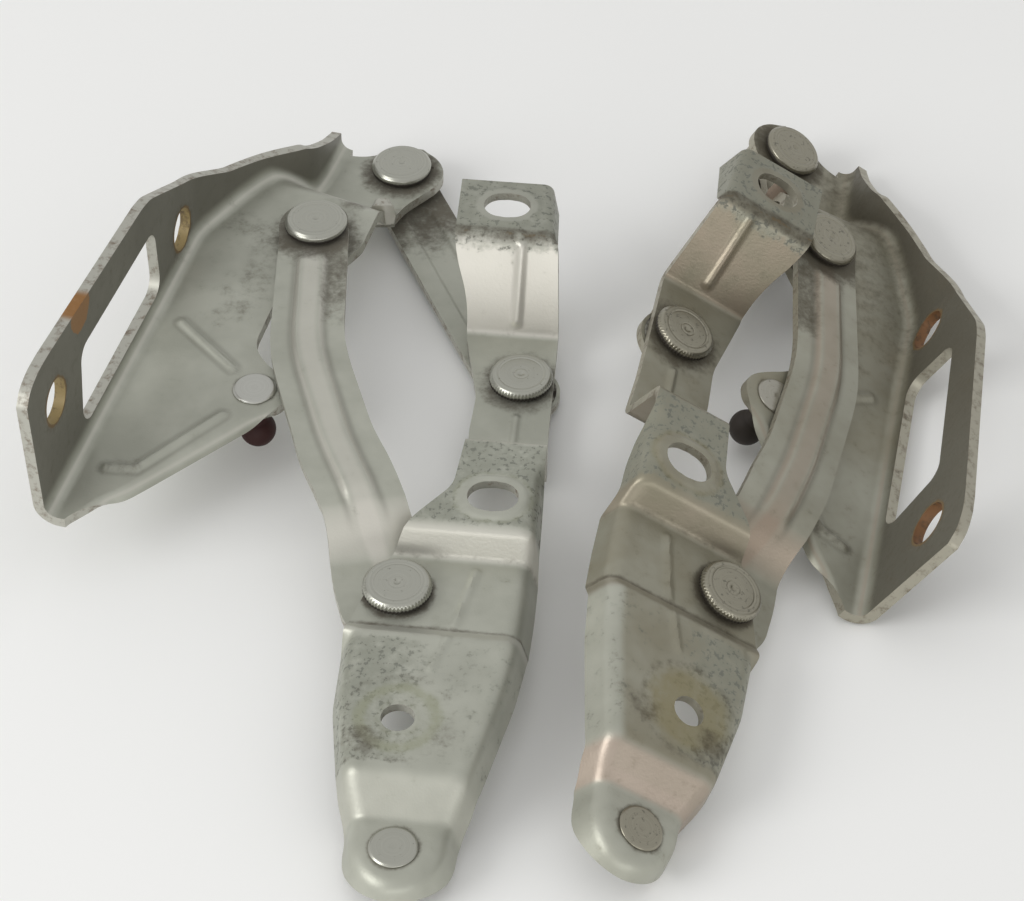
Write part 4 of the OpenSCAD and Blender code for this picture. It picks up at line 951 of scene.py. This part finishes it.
for side, sheet in SHEETS.items():
    seat_at, floor_at = front_pivot(FOLD[side]), floor_pivot(FOLD[side])
    bent = heading(floor_at - seat_at) - ARM_DIR
    bonnet_arm(side, sheet, seat_at, bent)
    body_bracket(side, sheet)
    long_link(side, sheet)
    short_link(side, sheet, heading(floor_at - EAR_AT))
    arm, long, short = side + "_arm", side + "_long", side + "_short"
    web_under, long_under, short_under = WEB_Z - BRACKET_T, LONG_LOW - LINK_T, SHORT_TOP - LINK_T
    gap = FACE_GAP
    for label, body, at, top, low, tail_z, teeth in (
            ("web_rivet", "brackets", WEB_AT, LONG_TOP + gap, web_under, web_under - TAIL_H, 0),
            ("ear_rivet", "brackets", EAR_AT, EAR_Z, short_under - gap, 0, 0),
            ("floor_rivet", arm, floor_at, FLOOR_Z, short_under - gap, 0, KNURL),
            ("seat_rivet", arm, seat_at, SEAT_Z, long_under - gap, long_under - TAIL_H, KNURL)):
        turned(side, label + "_turned", body, label, RIVETS[side], at,
               rivet_outline(top, low, tail_z), teeth)
    press = SHANK_D / 2
    run, play = press + RUN_GAP, press + OPEN_GAP
    for label, body, at, inner, outer, low, high in (
            ("web_bush", long, WEB_AT, run, BUSH_RO, LONG_TOP - LINK_T, LONG_TOP),
            ("seat_bush", long, seat_at, run, BUSH_RO, long_under, LONG_LOW),
            ("ear_bush", short, EAR_AT, run, BUSH_RO, short_under, SHORT_TOP),
            ("floor_bush", short, floor_at, play, play + BUSH_WALL, short_under, SHORT_TOP),
            ("web_washer", "brackets", WEB_AT, press, WASHER_R, WEB_Z, LONG_TOP - LINK_T - gap),
            ("seat_washer", arm, seat_at, press, WASHER_R, LONG_LOW + gap, SEAT_Z - ARM_T),
            ("ear_washer", "brackets", EAR_AT, press, WASHER_R, SHORT_TOP + gap,
             EAR_Z - BRACKET_T),
            ("floor_washer", arm, floor_at, press, WIDE_WASHER_R, SHORT_TOP + gap,
             FLOOR_Z - ARM_T)):
        slot, metal = ("bush_bronze", BRONZE) if "bush" in label else ("washer_steel", WASHER)
        turned(side, label + "_ring", body, label, metal, at,
               ring_outline(inner, outer, low, high))
    for label, body, steel, at, outline in (
            ("bracket_stud", "brackets", STUDS[side], on_piece(WEB_AT, BRACKET_TURN, BRACKET_STUD),
             stud_outline(WEB_Z, BRACKET_T, *BRACKET_BALL)),
            ("tongue_stud", arm, RIVETS[side], on_piece(seat_at, bent, STUD_UV),
             stud_outline(TONGUE_Z, ARM_T, *TONGUE_BALL))):
        turned(side, label + "_turned", body, label, steel, at, outline)

# ---- bench, light and camera
BENCH_HALF, BENCH_Z = 6, -0.0002
bench_mesh = bpy.data.meshes.new("bench_top")
bench_mesh.from_pydata([(x * BENCH_HALF, y * BENCH_HALF, BENCH_Z)
                        for x, y in ((-1, -1), (1, -1), (1, 1), (-1, 1))], [], [(0, 1, 2, 3)])
floor = bpy.data.objects.new("bench_top", bench_mesh)
scene.collection.objects.link(floor)
card, card_tree, card_shader, *_ = new_finish("pale_bench_card")
feed(card_tree, card_shader, {"Base Color": "#f4f4f2", "Roughness": 0.8})
bench_mesh.materials.append(card)

world = bpy.data.worlds.new("studio")
scene.world = world
world.use_nodes = True
feed(world.node_tree, world.node_tree.nodes["Background"],
     {"Color": "#ffffff", "Strength": 0.7})
LAMP_AIM = np.array([0, 0, 0.02])


def softbox(name, at, wide, high, watts):
    """Rectangular lamp that faces the middle of the pair."""
    lamp = bpy.data.lights.new(name, "AREA")
    lamp.shape, lamp.size, lamp.size_y, lamp.energy = "RECTANGLE", wide, high, watts
    o = bpy.data.objects.new(name, lamp)
    back = np.array(at, float) - LAMP_AIM
    o.location = at
    o.rotation_euler = (math.acos(back[2] / np.linalg.norm(back)), 0,
                        math.atan2(back[1], back[0]) + math.pi / 2)
    scene.collection.objects.link(o)


softbox("front_window", (0.15, -1.9, 0.3), 2.2, 0.5, 6)
softbox("side_window", (-1.4, -0.7, 0.9), 1.0, 1.0, 14)

# Camera as fitted to the photo: its focal length in pixels of the photo's width
LOOK = np.array([-2.86, 3.73, 11.0]) * MM
RISE, DISTANCE = math.radians(44.244), 0.72996
SENSOR, FOCAL_PX, PHOTO_PX = 36, 2675.7, 1024
cam = bpy.data.cameras.new("camera")
cam.sensor_width, cam.lens = SENSOR, FOCAL_PX / PHOTO_PX * SENSOR
cam_obj = bpy.data.objects.new("camera", cam)
cam_obj.location = LOOK + DISTANCE * np.array([0, -math.cos(RISE), math.sin(RISE)])
cam_obj.rotation_euler = (math.pi / 2 - RISE, 0, 0)
scene.collection.objects.link(cam_obj)
scene.camera = cam_obj
